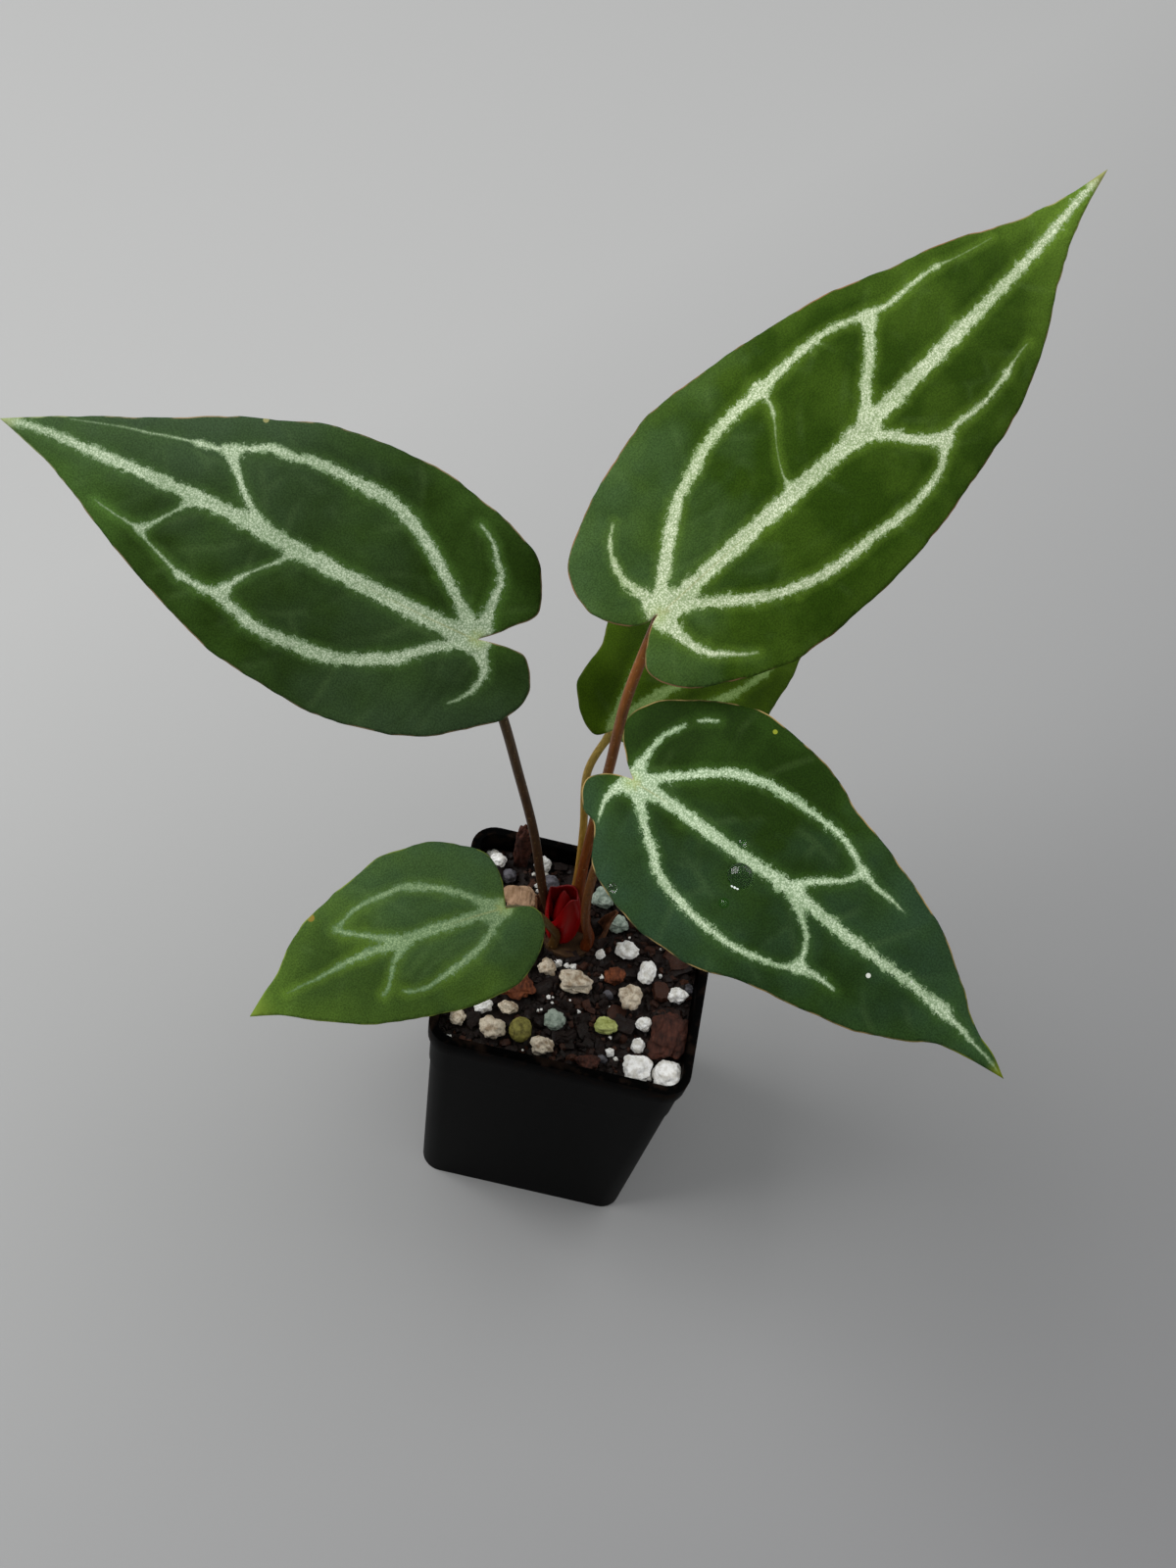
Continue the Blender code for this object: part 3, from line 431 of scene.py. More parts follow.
def grain_shape(kind, seed):
    """A rough lump of radius 1: a sphere pushed towards a box, dented, and puffed up in small round cells."""
    square, dents, puffs, puff_size = GRAIN_KINDS[kind][2:]
    bpy.ops.mesh.primitive_ico_sphere_add(subdivisions=5, radius=1)
    lump = bpy.context.object
    start = Vector((seed * 3.7, seed * 1.9, seed * 0.7))
    power = 1 - 0.6 * square
    for vert in lump.data.vertices:
        boxy = Vector([math.copysign(abs(c) ** power, c) for c in vert.co])
        out = 1 + dents * noise.noise(vert.co * 1.3 + start)
        out += 0.5 * dents * noise.noise(vert.co * 3.1 + start)
        cells = noise.voronoi(vert.co / puff_size + start)[0]
        out += puffs * (0.7 - min(1, cells[0]) ** 2)
        out += 0.02 * noise.noise(vert.co * 14 + start)
        vert.co = vert.co.lerp(boxy, square) * out
    return lump


def fit_to_box(obj, low, high):
    """Stretches an object's mesh so that it just fills a box."""
    points = np.array([v.co for v in obj.data.vertices])
    share = (points - points.min(0)) / (points.max(0) - points.min(0))
    points = np.array(low) + share * (np.array(high) - np.array(low))
    obj.data.vertices.foreach_set("co", points.ravel())
    obj.data.update()


def press_to_wall(obj):
    """Flattens a grain against the pot's inner wall and round corners, where it would reach into them."""
    points = np.array([v.co for v in obj.data.vertices])
    up = (points[:, 2:] - FLOOR) / (pot_high.z - FLOOR)
    corner = POT_FOOT_HALF + (pot_top_half - POT_FOOT_HALF) * up - WALL_GAP - CORNER_RADIUS
    size = np.abs(points[:, :2])
    past = np.maximum(size - corner, 0)
    length = np.linalg.norm(past, axis=1, keepdims=True)
    past *= np.minimum(1, (CORNER_RADIUS - WALL) / np.maximum(length, 1e-9))
    points[:, :2] = np.sign(points[:, :2]) * (np.minimum(size, corner) + past)
    obj.data.vertices.foreach_set("co", points.ravel())
    obj.data.update()


def mineral(name, light, dark, pore, roughness, depth):
    """A dull material of two tones, with pores of a size in metres and a depth in metres."""
    material, shader, add = new_material(name, Specular_IOR_Level=0.25, Roughness=roughness)
    place = add("TexCoord", out="Object")
    clouds = add("TexNoise", (place, 1 / (3 * pore), 5))
    pits = add("TexVoronoi", (place, 1 / pore))
    # Painted shade: the colour is darker in the pores, where shade falls into them.
    pit_shade = add("MapRange", (pits, 0.05, 0.4, 0.35))
    share = add("MapRange", (clouds, 0.36, 0.56))
    share = add("Math", (share, pit_shade), operation="MULTIPLY")
    colour = add("Mix", (share, linear(dark), linear(light)), data_type="RGBA")
    relief = add("Bump", {"Height": pits, "Strength": 0.5, "Distance": depth})
    give_inputs(shader, {"Base Color": colour, "Normal": relief})
    return material


def fibrous(name, light, dark, fibre):
    """Wood or bark: two tones in long fibres of this width in metres."""
    material, shader, add = new_material(name, Specular_IOR_Level=0.25, Roughness=0.8)
    place = add("TexCoord", out="Object")
    long_way = add("Mapping", {"Vector": place, "Scale": (1, 0.18, 1), "Rotation": (0.3, 0.2, 0.5)})
    fibres = add("TexNoise", {"Vector": long_way, "Scale": 1 / fibre, "Detail": 4, "Distortion": 0.4})
    patches = add("TexNoise", (place, 1 / (5 * fibre), 3))
    share = add("Math", (fibres, patches), operation="MULTIPLY")
    share = add("MapRange", (share, 0.12, 0.42))
    colour = add("Mix", (share, linear(dark), linear(light)), data_type="RGBA")
    relief = add("Bump", {"Height": fibres, "Strength": 0.8, "Distance": 0.5 * fibre})
    give_inputs(shader, {"Base Color": colour, "Normal": relief})
    return material


MINERALS = (
    ("puffed_perlite", "FCFBF9", "D4D0C8", 0.5 * MM, 0.8, 0.12 * MM),
    ("cream_pumice", "DCCFBA", "A08C74", 0.6 * MM, 0.85, 0.25 * MM),
    ("olive_clay", "8C8642", "5B5526", 0.5 * MM, 0.7, 0.15 * MM),
    ("lime_grit", "BFC67A", "8B9148", 0.5 * MM, 0.7, 0.15 * MM),
    ("pale_zeolite", "A6B3A6", "728074", 0.5 * MM, 0.75, 0.2 * MM),
    ("grey_stone", "65636A", "3A383C", 0.5 * MM, 0.7, 0.15 * MM),
)
WOODY = (
    ("pale_wood", "B8967A", "86684C", 0.5 * MM),
    ("red_brown_bark", "5A3226", "24120D", 0.6 * MM),
    ("orange_bark", "8F4E2E", "3B1C10", 0.6 * MM),
)
grain_finishes = {row[0]: mineral(*row) for row in MINERALS} | {row[0]: fibrous(*row) for row in WOODY}


def place_grain(kind, seed, low, high, name, nodes=(), orange=False):
    """Makes a grain that fills this box, pressed flat where the box reaches into the wall."""
    grain_obj = grain_shape(kind, seed)
    fit_to_box(grain_obj, low, high)
    press_to_wall(grain_obj)
    slot, finish = ("bark_orange", "orange_bark") if orange else GRAIN_KINDS[kind][:2]
    finish_piece(grain_obj, name, grain_finishes[finish], nodes)


for number, node in enumerate(sorted(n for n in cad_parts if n.startswith(LOOSE))):
    low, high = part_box(node)
    sunk = Vector((0, 0, SUNK_SHARE * (high.z - low.z)))
    bulge_low, bulge_high = [Vector((*out, 0)) * MM for out in BULGES.get(node, ((0, 0), (0, 0)))]
    place_grain(next(kind for kind in GRAIN_KINDS if node.startswith(kind)), number + 3,
                low - sunk + bulge_low, high + bulge_high, node + "_grain", [node], node in ORANGE_CHUNKS)
for number, (kind, (x, y), size) in enumerate(SMALL_GRAINS):
    low = Vector((x - size / 2, y - size / 2, (ground(x * MM, y * MM) / MM) - 0.3 * size)) * MM
    high = low + Vector((size, size * 0.85, size * 0.8)) * MM
    place_grain(kind, number + 60, low, high, f"small_{kind}_{number + 1}")

# Perlite crumbs
# Perlite rubs off in the bag and at potting, so small white crumbs of it lie between all the larger pieces.
CRUMBS = 60
CRUMB_SIZE = (0.5 * MM, 1.5 * MM)
CRUMB_RISE = 0.7 * MM
crumbs = []
while len(crumbs) < CRUMBS:
    size = CRUMB_SIZE[0] + (CRUMB_SIZE[1] - CRUMB_SIZE[0]) * draw.random() ** 2
    spot = free_spot(draw, size)
    if spot:
        turn = Euler([draw.uniform(0, 6) for _ in range(3)]).to_matrix().to_4x4()
        matrix = Matrix.Translation((*spot, ground(*spot) + CRUMB_RISE)) @ turn @ Matrix.Scale(size, 4)
        crumbs.append((draw.choice(fine_shapes), matrix, 1))
finish_piece(gather(crumbs), "perlite_crumbs", grain_finishes["puffed_perlite"], smooth=False)

# Leaf blades
# Five thin velvety blades, heart-shaped with a long tip, each grown as one piece with its stalk. The upper
# face is dark green with silver bands along the veins; below, it is pale green with the veins as ribs.

# The blades turn their faces to this point.
LIGHT = Vector((-23.4 * MM, -307 * MM, 562 * MM))

# Of every blade: sinus is where the stalk meets it and tip is its far end, in mm. Outline and vein points are
# percent of its length along and, to its left or right, percent across, where one percent across measures
# "across" mm. Arch, camber, twist and wave are heights in mm of its bends. A vein is the silver band's
# width in mm at its start, middle and end, and then its route. Greens are the deep, the light and the bluish
# one, which is a painted reflection: the sheen of the pale room in the velvet. Lighter says how far the light
# one comes in at the tip and the margin, and painted_sheen how the share of the painted reflection grows
# along, across and on the diagonal, and its share where the stalk meets the blade. Point is the colour of the
# very tip, and over how many mm it comes in.
LEAVES = {
    "upper_right": {
        "sinus": (-3.9, 5.8, 199.5), "tip": (69.8, 117.5, 247.2), "across": 1.286,
        "left": ((0, 0.3), (-2.5, 0.8), (-5.2, 4), (-6.4, 9), (-4, 15.5), (3, 19.6), (10, 22), (20, 23.8),
            (30, 22.6), (40, 20.5), (50, 17.9), (60, 14), (70, 10.5), (80, 5.3), (90, 1.9), (100, 0)),
        "right": ((0, 0.3), (-3, -1), (-6.6, -5.1), (-4.9, -10.5), (0, -14.8), (5, -18), (12, -20.9),
            (25, -22.3), (35, -22.1), (45, -20.8), (60, -17.8), (70, -13.4), (80, -7.2), (90, -2.7),
            (100, 0)),
        "arch": 7.0, "camber": 3.4, "wave": 1.5, "waves": 2.3, "twist": 3.0,
        "veins": (
            ((3.6, 3.7, 1.8), ((0, 0), (10, -0.5), (20, -1), (30, -1.5), (40, -2), (50, -1.8), (60, -1.7),
             (70, -1.5), (80, -1.2), (90, -0.3), (97, 0))),
            ((3.0, 2.5, 1.0), ((1, 1), (5, 4.5), (10, 8.4), (13.7, 10.9), (18, 12.4), (22.3, 13.8),
             (28, 14.4), (33.7, 14.1), (40, 14), (45, 13.6), (48.7, 12.7), (52.3, 11.1), (56.6, 9.5),
             (60, 9.3), (63.7, 9), (66.6, 8.4))),
            ((0.5, 0.3, 0.15), ((66.6, 8.4), (70, 7.2), (73.7, 6.1), (76.6, 5.4))),
            ((3.0, 2.5, 2.7), ((41, -1.5), (43, 0.5), (45, 2.7), (48.7, 5.6), (51.2, 8.4), (52.6, 10))),
            ((2.0, 0.9, 0.4), ((33.6, 14.5), (33.3, 12.6), (33, 11.3), (32.4, 10))),
            ((0.5, 0.25, 0.4), ((32.4, 10), (31.2, 8.4), (28.7, 5.2), (26.9, 2), (26.2, -0.5))),
            ((2.8, 1.9, 0.6), ((0.5, 0.5), (0.5, 3.4), (0.1, 7.4), (0.5, 9.9), (1.6, 12.4), (3, 14.1),
             (4.8, 15.4))),
            ((2.6, 2.4, 1.2), ((1, -0.5), (4.4, -2.3), (8.7, -6.2), (13, -9.8), (16.6, -11.9), (21.6, -13.9),
             (26.6, -14.8), (31, -15.3), (36.6, -16.2), (41.6, -15.9), (45, -15.1), (48, -13), (51, -12),
             (56, -12.6), (60, -12.4), (63, -11.9))),
            ((1.2, 0.6, 0.2), ((63, -11.9), (65, -11.4), (67, -11), (69, -10.9))),
            ((3.0, 2.3, 2.6), ((38, -2), (41.2, -4.1), (43.7, -7.3), (46, -10.1), (48.5, -12.4))),
            ((2.6, 1.9, 0.5), ((0.1, -0.8), (0.3, -5.9), (1.2, -9.4), (3, -11.6), (4.8, -13.7),
             (6.7, -15.3))),
        ),
        "greens": ("294009", "5C7A26", "46603A"), "lighter": (0.5, 0.1), "painted_sheen": (-1.6, 0.3, 0.0, 0.35),
        "silver": ("6A8748", "E6EFCE"), "margin": "8E6A4C", "point": ("96985E", 9), "spots": (),
    },
    "upper_left": {
        "sinus": (-38.8, 1.0, 184.8), "tip": (-145.3, 20.4, 195.5), "across": 1.088,
        "left": ((0, 0), (-6, -1), (-10, -0.3), (-12.8, 6), (-10, 12.2), (-3, 18), (5, 22.5), (20, 25.8),
            (35, 24.8), (45, 22.8), (55, 19.2), (65, 14.8), (75, 9.8), (85, 4.7), (95, 1.4), (100, 0)),
        "right": ((0, 0), (-4, -3.8), (-8.2, -9.5), (-5, -17.3), (0, -21), (9, -24), (22, -26.2), (40, -25),
            (50, -21.8), (60, -18), (70, -13.2), (80, -8.9), (90, -4.7), (100, 0)),
        "arch": 8.0, "camber": 3.0, "wave": 1.3, "waves": 2.1, "twist": -2.0,
        "veins": (
            ((3.9, 3.5, 1.9), ((0, 0.3), (10, 0.3), (20, 0), (30, -0.5), (40, -1.2), (50, -2), (60, -2.1),
             (70, -2), (80, -1.7), (90, -1.5), (95, -1), (100, 0))),
            ((2.2, 3.2, 1.6), ((1, 0.8), (4.7, 3.4), (9, 6.6), (12.6, 9.9), (16.1, 11.6), (19.7, 13.4),
             (24, 14.8), (28.3, 15.3), (34, 15.5), (38.3, 15.4), (42.6, 14.4), (46.9, 13), (51.1, 12.9),
             (55.4, 12.5))),
            ((1.0, 0.7, 0.4), ((55.4, 12.5), (58.3, 11.4), (61, 10.3), (64, 9), (66, 7.8), (70.8, 7.3),
             (76, 6.4))),
            ((2.0, 0.9, 1.4), ((47, 12.3), (45.4, 9), (42.6, 5.6), (40.4, 3.4), (39, 1.8), (37.5, -0.8))),
            ((1.2, 0.9, 0.9), ((58, -1.8), (60.4, 1.2), (62.2, 3.6), (64, 5.8), (65.8, 7.8))),
            ((2.6, 1.7, 0.5), ((0, 0.5), (-1.7, 2.7), (-3.5, 5.2), (-3.1, 8.8), (-1.7, 11.4), (0.4, 13.6))),
            ((2.4, 3.0, 1.5), ((1, -0.8), (4.7, -3.7), (8.3, -6.6), (12.6, -9.9), (16.1, -12.4),
             (20.4, -14.8), (25.4, -16.7), (29.7, -17), (35.4, -17.3), (41, -17.3), (45.4, -16.4),
             (49.7, -16.2), (52.6, -14.6), (55.4, -13.4), (58.3, -12), (62, -11.4))),
            ((0.9, 0.6, 0.3), ((62, -11.4), (68.3, -10.2), (71, -9.4), (76, -8.4), (82, -6.8), (87, -5.4))),
            ((2.0, 1.7, 2.0), ((44, -1.6), (46.9, -3.6), (50.4, -6.4), (52.9, -9), (54.7, -10.8),
             (55.8, -12.4))),
            ((2.6, 1.8, 0.7), ((0, -0.8), (0.1, -4.4), (0.4, -8), (0.8, -12.3), (2.9, -15.1), (5.4, -18),
             (8.6, -19.9))),
        ),
        "greens": ("20330A", "48682A", "35482E"), "lighter": (0.5, 0.12), "painted_sheen": (0.3, 0.9, -3.0, 0.2),
        "silver": ("567246", "C8D6B8"), "margin": "948062", "point": ("8E9A6A", 5),
        "spots": ((52.7, -20.6, 0.7, "8C8A5C"),),
    },
    "lower_right": {
        "sinus": (-1.2, -16.8, 173.0), "tip": (85.6, -56.8, 156.4), "across": 0.975,
        "left": ((0, 0.5), (-3.2, 2.4), (-7.1, 5.7), (-9.3, 9.4), (-8.9, 12.6), (-6.4, 16.9), (-2, 20.7),
            (3.2, 24.4), (8.5, 27), (15, 29), (30, 28.3), (40, 25), (50, 22.7), (60, 19.7), (70, 16.3),
            (80, 10.6), (85, 7), (90, 4.3), (95, 2.9), (100, 0.3)),
        "right": ((0, 0.5), (-4.7, -1.6), (-8, -5.9), (-4.7, -10.9), (-0.4, -12.4), (4.6, -19), (12, -22),
            (22, -23.4), (35, -22.1), (45, -18), (60, -14.3), (70, -11), (80, -5.7), (85, -2.5), (92, -0.9),
            (100, 0.3)),
        "arch": 7.0, "camber": 2.6, "wave": 1.4, "waves": 1.9, "twist": 2.0,
        "veins": (
            ((2.9, 2.8, 2.2), ((0, 0), (10, 1.4), (20, 1.8), (30, 2.4), (40, 3.3), (50, 3), (60, 3),
             (70, 3.5), (77, 3.5), (81, 3.4))),
            ((2.0, 1.0, 0.5), ((80, 3.5), (85, 3), (90, 2.1), (95, 1.5), (99, 0.4))),
            ((2.2, 2.4, 1.2), ((1, 0.6), (5.3, 5.2), (8.1, 7.8), (11.7, 11.2), (15.3, 14.1), (18.9, 15.9),
             (23.1, 17.3), (27.4, 18), (31.7, 18.3), (36.7, 18.5), (41.7, 18.4), (45.3, 17.4), (48.1, 16.4),
             (50.3, 15.2))),
            ((1.5, 1.3, 0.5), ((50.3, 15.2), (54.6, 14.6), (58, 14.6), (62, 14.2))),
            ((2.2, 1.6, 1.4), ((38, 2.8), (40.3, 3.6), (42.4, 6.6), (45.3, 9.2), (48.1, 11.6), (50, 14.8))),
            ((2.4, 1.6, 1.2), ((0, 0.6), (-0.8, 4.1), (-0.9, 7.7), (-0.8, 11.3), (0.3, 14.1), (1.4, 16.3))),
            ((0.9, 1.1, 0.8), ((3.1, 18.8), (5, 20.3), (6.7, 21.6))),
            ((2.2, 2.1, 1.3), ((1, -0.4), (6, -3.7), (9.6, -6.6), (13.1, -8.7), (16, -11.1), (20.3, -12.6),
             (24.6, -13.3), (28.9, -13.8), (33.1, -13.9), (37.4, -13.7), (41.7, -12.9), (45.3, -11.7),
             (48.9, -10.5), (51.7, -8.7))),
            ((1.8, 1.5, 0.6), ((51.7, -8.7), (54.6, -7.6), (58, -7.4), (61, -7.4))),
            ((1.6, 1.2, 1.5), ((43, 1.8), (46, -0.1), (48.9, -2), (50.6, -4.6), (51.9, -8))),
            ((1.8, 1.4, 0.7), ((0, -0.3), (-1.1, -2.3), (-2, -5.9), (-1.1, -8.9), (-0.1, -11.4))),
        ),
        "greens": ("1C3008", "3A581E", "324A38"), "lighter": (0.22, 0.1), "painted_sheen": (0.3, -0.9, 1.9, 0.06),
        "silver": ("5E7C4E", "D2E2C2"), "margin": "A88E5C", "point": ("74801E", 5),
        "spots": ((17.3, 26.9, 0.55, "8C9430"), (64.2, -0.6, 0.55, "D8DCD0"), (72.0, 4.0, 0.25, "C4CCBC"),
            (30.7, -1.2, 2.8, "0A2400"), (11.1, -20.1, 1.2, "0A2400"), (26.7, 4.3, 1.0, "123004"),
            # The three pale E8F0EC spots are a painted highlight: glints of light that the big drop focuses
            # onto the blade.
            (31.6, -7.7, 1.2, "1A3A0C"), (30.7, -3.85, 0.3, "E8F0EC"), (31.3, -3.7, 0.34, "E8F0EC"),
            (31.9, -3.55, 0.3, "E8F0EC")),
    },
    "lower_left": {
        "sinus": (-20.7, -23.0, 125.5), "tip": (-69.5, -54.5, 108.0), "across": 0.61,
        "left": ((0, 0.8), (-9.5, 4.2), (-11.2, 10.5), (-5, 20.4), (5, 26.7), (15, 28.7), (30, 27.7),
            (45, 24.3), (60, 20.3), (70, 15.2), (80, 9.8), (90, 3.8), (100, 0)),
        "right": ((0, 0.8), (-1.6, -4.2), (-3.2, -12), (-1.2, -20.8), (6.3, -26.8), (14.7, -31.8),
            (25, -33.5), (35.5, -33.8), (50, -29.7), (65, -24.6), (75, -19.3), (85, -10), (92, -5.6),
            (100, 0)),
        "arch": 4.5, "camber": 2.0, "wave": 0.8, "waves": 1.8, "twist": 0.0,
        "veins": (
            ((2.9, 2.4, 0.3), ((0.5, 0.5), (10, -0.8), (20, -1.8), (30, -2.8), (40, -3), (50, -4), (60, -4),
             (70, -3), (80, -2.6), (85, -2.2))),
            ((1.5, 1.9, 0.8), ((1.5, 1), (5.5, 4), (9.7, 7.5), (13, 9.6), (18, 11.2), (23.8, 13),
             (29.7, 14.2), (36.3, 15.4), (42.2, 15), (46, 13.4))),
            ((1.4, 1.2, 1.0), ((40, -3), (41.3, 0), (44.7, 2.8), (48.4, 7.6), (50.5, 10.4), (53, 11.7))),
            ((1.7, 2.0, 0.9), ((1.5, -0.5), (7.2, -5), (13, -10.4), (18.8, -15), (25.5, -18.3), (31.3, -20.8),
             (36.3, -21), (44.7, -20.9), (51.3, -19.9), (58, -17))),
            ((1.8, 1.5, 1.2), ((40, -3), (43, -5.4), (48, -8.6), (53, -11.6), (57.2, -14.2), (60, -16.4))),
        ),
        "greens": ("344A1C", "5C7A2A", "3E583C"), "lighter": (0.3, 0.2), "painted_sheen": (-0.9, -0.3, 0.0, 0.5),
        "silver": ("4F6C44", "98B082"), "margin": "78883A", "point": ("6E8430", 7),
        "spots": ((65.9, -23.6, 0.9, "85702E"),),
    },
    "rear": {
        "sinus": (-5.4, 18.9, 142.1), "tip": (42.1, 90.3, 124.2), "across": 0.58,
        "left": ((0, 0.5), (-4.7, 2.3), (-5.8, 6.4), (-5.2, 13.6), (-2.5, 21.4), (0.7, 25.9), (9.8, 31),
            (20.3, 40.5), (30, 42), (45, 37), (60, 28), (75, 18), (88, 8), (100, 0)),
        "right": ((0, 0.5), (-0.8, -1), (0, -4.5), (2.5, -10), (6, -18), (12, -27), (24, -32.5), (38, -31.5),
            (50, -25.6), (56, -22.6), (63, -18.9), (68.3, -15), (80, -9), (90, -4), (100, 0)),
        "arch": 6.0, "camber": 2.6, "wave": 1.6, "waves": 2.6, "twist": 0.0,
        "veins": (
            ((3.0, 2.6, 0.7), ((0.5, 0.5), (5, 1.8), (10.9, 3.1), (16.5, 3.1), (22.4, 2.6), (34, 2.2),
             (50, 1.8), (70, 1), (97, 0))),
            ((2.8, 2.2, 0.6), ((0, 1), (8, 10), (18, 18), (30, 23), (45, 24), (58, 20), (68, 14))),
            ((2.6, 2.4, 0.6), ((1, -0.5), (8, -2.4), (16, -5.8), (25, -9.4), (34.7, -12), (43.1, -12.6),
             (51.6, -12.2), (60, -10), (70, -6))),
            ((1.6, 1.4, 1.2), ((44, 4), (49, 10), (53, 16), (56, 21))),
            ((1.6, 1.4, 1.2), ((40, 2), (44, -3), (48, -8), (51.6, -12))),
            ((1.0, 0.6, 0.3), ((0, -1), (0.5, -8), (3, -15), (8, -21))),
        ),
        "greens": ("2A3E03", "48620F", "2C4012"), "lighter": (0.3, 0.4), "painted_sheen": (0, 0, 0, 0),
        "silver": ("587434", "8AA264"), "margin": "5E6428", "point": ("6E7A3A", 3), "spots": (),
    },
}

# The mesh of a blade: how far apart its points lie, and the least share of that between two.
SPACING, LEAST_GAP = 0.7 * MM, 0.55
# How thick a blade is, how far it swells between its veins, how its ribs stand out, and how its rim ripples.
THICKNESS, MARGIN_THICKNESS = 0.46 * MM, 0.26 * MM
QUILT, QUILT_REACH = 0.38 * MM, 3.2 * MM
RIB_HEIGHT, RIB_WIDTH = 0.85 * MM, 0.75 * MM
RIPPLE, RIPPLE_SIZES = 0.3 * MM, (6 * MM, 2.3 * MM)
# The main veins: how they widen where they meet a vein or the stalk, and their jagged spurs. Pairs are the
# least and the most, of starts, gaps and reaches in mm, and of turns and bends in degrees.
VEIN_STEP = 0.7 * MM
JOINT_FLARE, FLARE_REACH, JOINT_WITHIN = 0.5 * MM, 2.6 * MM, 1.8 * MM
STALK_FLARE, STALK_FLARE_REACH = 0.7 * MM, 5 * MM
WEB = 0.6 * MM
SPUR_GAP, SPUR_REACH, SPUR_TURN = (2.5, 8), (0.1, 0.8), (32, 70)
SPUR_TIP = 0.05 * MM
# The thin side veins, and how near they come to the rim, to other veins and to the one that they leave.
SIDE_VEIN_START, SIDE_VEIN_GAP, SIDE_VEIN_TURN, SIDE_VEIN_BEND = (2, 7), (8, 13), (48, 72), (-2, 6)
SIDE_VEIN_STEP, SIDE_VEIN_MOST_STEPS = 1.2 * MM, 30
SIDE_VEIN_DEPTH, SIDE_VEIN_RIB = 0.1 * MM, 0.22 * MM
OFF_RIM, OFF_VEIN, OFF_OWN_VEIN = 1.5 * MM, 1.3 * MM, 2.5 * MM


def curve_through(points, steps):
    """A smooth curve through the points, as rows of an array, with this many steps to each stretch."""
    points = np.array(points, float)
    ends = np.vstack([2 * points[0] - points[1], points, 2 * points[-1] - points[-2]])
    t = np.linspace(0, 1, steps, endpoint=False)[:, None]
    curve = [0.5 * (2 * b + (c - a) * t + (2 * a - 5 * b + 4 * c - d) * t ** 2
                    + (3 * b - a - 3 * c + d) * t ** 3)
             for a, b, c, d in zip(ends, ends[1:], ends[2:], ends[3:])]
    return np.vstack([*curve, points[-1:]])


def evenly(curve, spacing):
    """Points at equal distances along a curve, both ends kept."""
    lengths = np.concatenate([[0], np.cumsum(np.linalg.norm(np.diff(curve, axis=0), axis=1))])
    at = np.linspace(0, lengths[-1], max(2, round(lengths[-1] / spacing)) + 1)
    return np.stack([np.interp(at, lengths, curve[:, k]) for k in range(curve.shape[1])], axis=1)


class Blade:
    """The surface of one blade, with the bends of its solid. Flat points are metres along and across."""

    def __init__(self, leaf):
        self.leaf = leaf
        self.sinus = np.array(leaf["sinus"]) * MM
        to_tip = np.array(leaf["tip"]) * MM - self.sinus
        self.length = np.linalg.norm(to_tip)
        self.along = to_tip / self.length
        to_light = np.array(LIGHT) - self.sinus
        up = to_light - to_light.dot(self.along) * self.along
        self.up = up / np.linalg.norm(up)
        self.left = np.cross(self.up, self.along)
        self.half = max(abs(y) for _, y in leaf["left"] + leaf["right"]) * leaf["across"] * MM

    def flat(self, points):
        """Percent along and across to metres."""
        return np.array(points, float) * (self.length / 100, self.leaf["across"] * MM)

    def place(self, flat):
        """The points of the surface in space."""
        flat = np.atleast_2d(flat)
        u, v = flat[:, 0] / self.length, flat[:, 1] / self.half
        wave = np.sin(2 * np.pi * self.leaf["waves"] * u + np.where(v > 0, 0.9, 2.6)) * v * v
        height = MM * (self.leaf["arch"] * 4 * u * (1 - u) - self.leaf["camber"] * v * v
                       + self.leaf["twist"] * v * u * (1 - u) + self.leaf["wave"] * wave)
        return self.sinus + flat[:, :1] * self.along + flat[:, 1:] * self.left + height[:, None] * self.up

    def normals(self, flat):
        """The directions that the upper face looks in."""
        flat = np.atleast_2d(flat)
        step = 0.5 * MM
        ahead = self.place(flat + (step, 0)) - self.place(flat - (step, 0))
        across = self.place(flat + (0, step)) - self.place(flat - (0, step))
        normals = np.cross(ahead, across)
        return normals / np.linalg.norm(normals, axis=1, keepdims=True)


def blade_outline(blade, seed):
    """The closed outline, out along the left side and back along the right, with small uneven ripples."""
    sides = [evenly(curve_through(blade.flat(blade.leaf[side]), 12), SPACING) for side in ("left", "right")]
    outline = np.vstack([sides[0], sides[1][-2:0:-1]])
    out = np.roll(outline, -1, axis=0) - np.roll(outline, 1, axis=0)
    out = np.stack([-out[:, 1], out[:, 0]], axis=1) / np.linalg.norm(out, axis=1, keepdims=True)
    for i, point in enumerate(outline):
        spot = Vector((*point, seed * 10 * MM))
        ripple = noise.noise(spot / RIPPLE_SIZES[0]) + 0.5 * noise.noise(spot / RIPPLE_SIZES[1])
        share = min(1, (blade.length * 0.96 - point[0]) / (12 * MM), np.linalg.norm(point) / (6 * MM))
        outline[i] += out[i] * RIPPLE * ripple * max(0, share)
    return outline


def line_distance(points, lines):
    """For each point, its distance to the side of the nearest tapered line, which is below 0 inside, and the
    number of that line. A line is its two ends and two half widths."""
    best, which = np.full(len(points), 1e9), np.zeros(len(points), int)
    for number, (a, b, half_a, half_b) in enumerate(lines):
        along = b - a
        t = np.clip((points - a) @ along / max(along @ along, 1e-14), 0, 1)
        away = np.linalg.norm(points - a - t[:, None] * along, axis=1) - (half_a + (half_b - half_a) * t)
        nearer = away < best
        best[nearer], which[nearer] = away[nearer], number
    return best, which


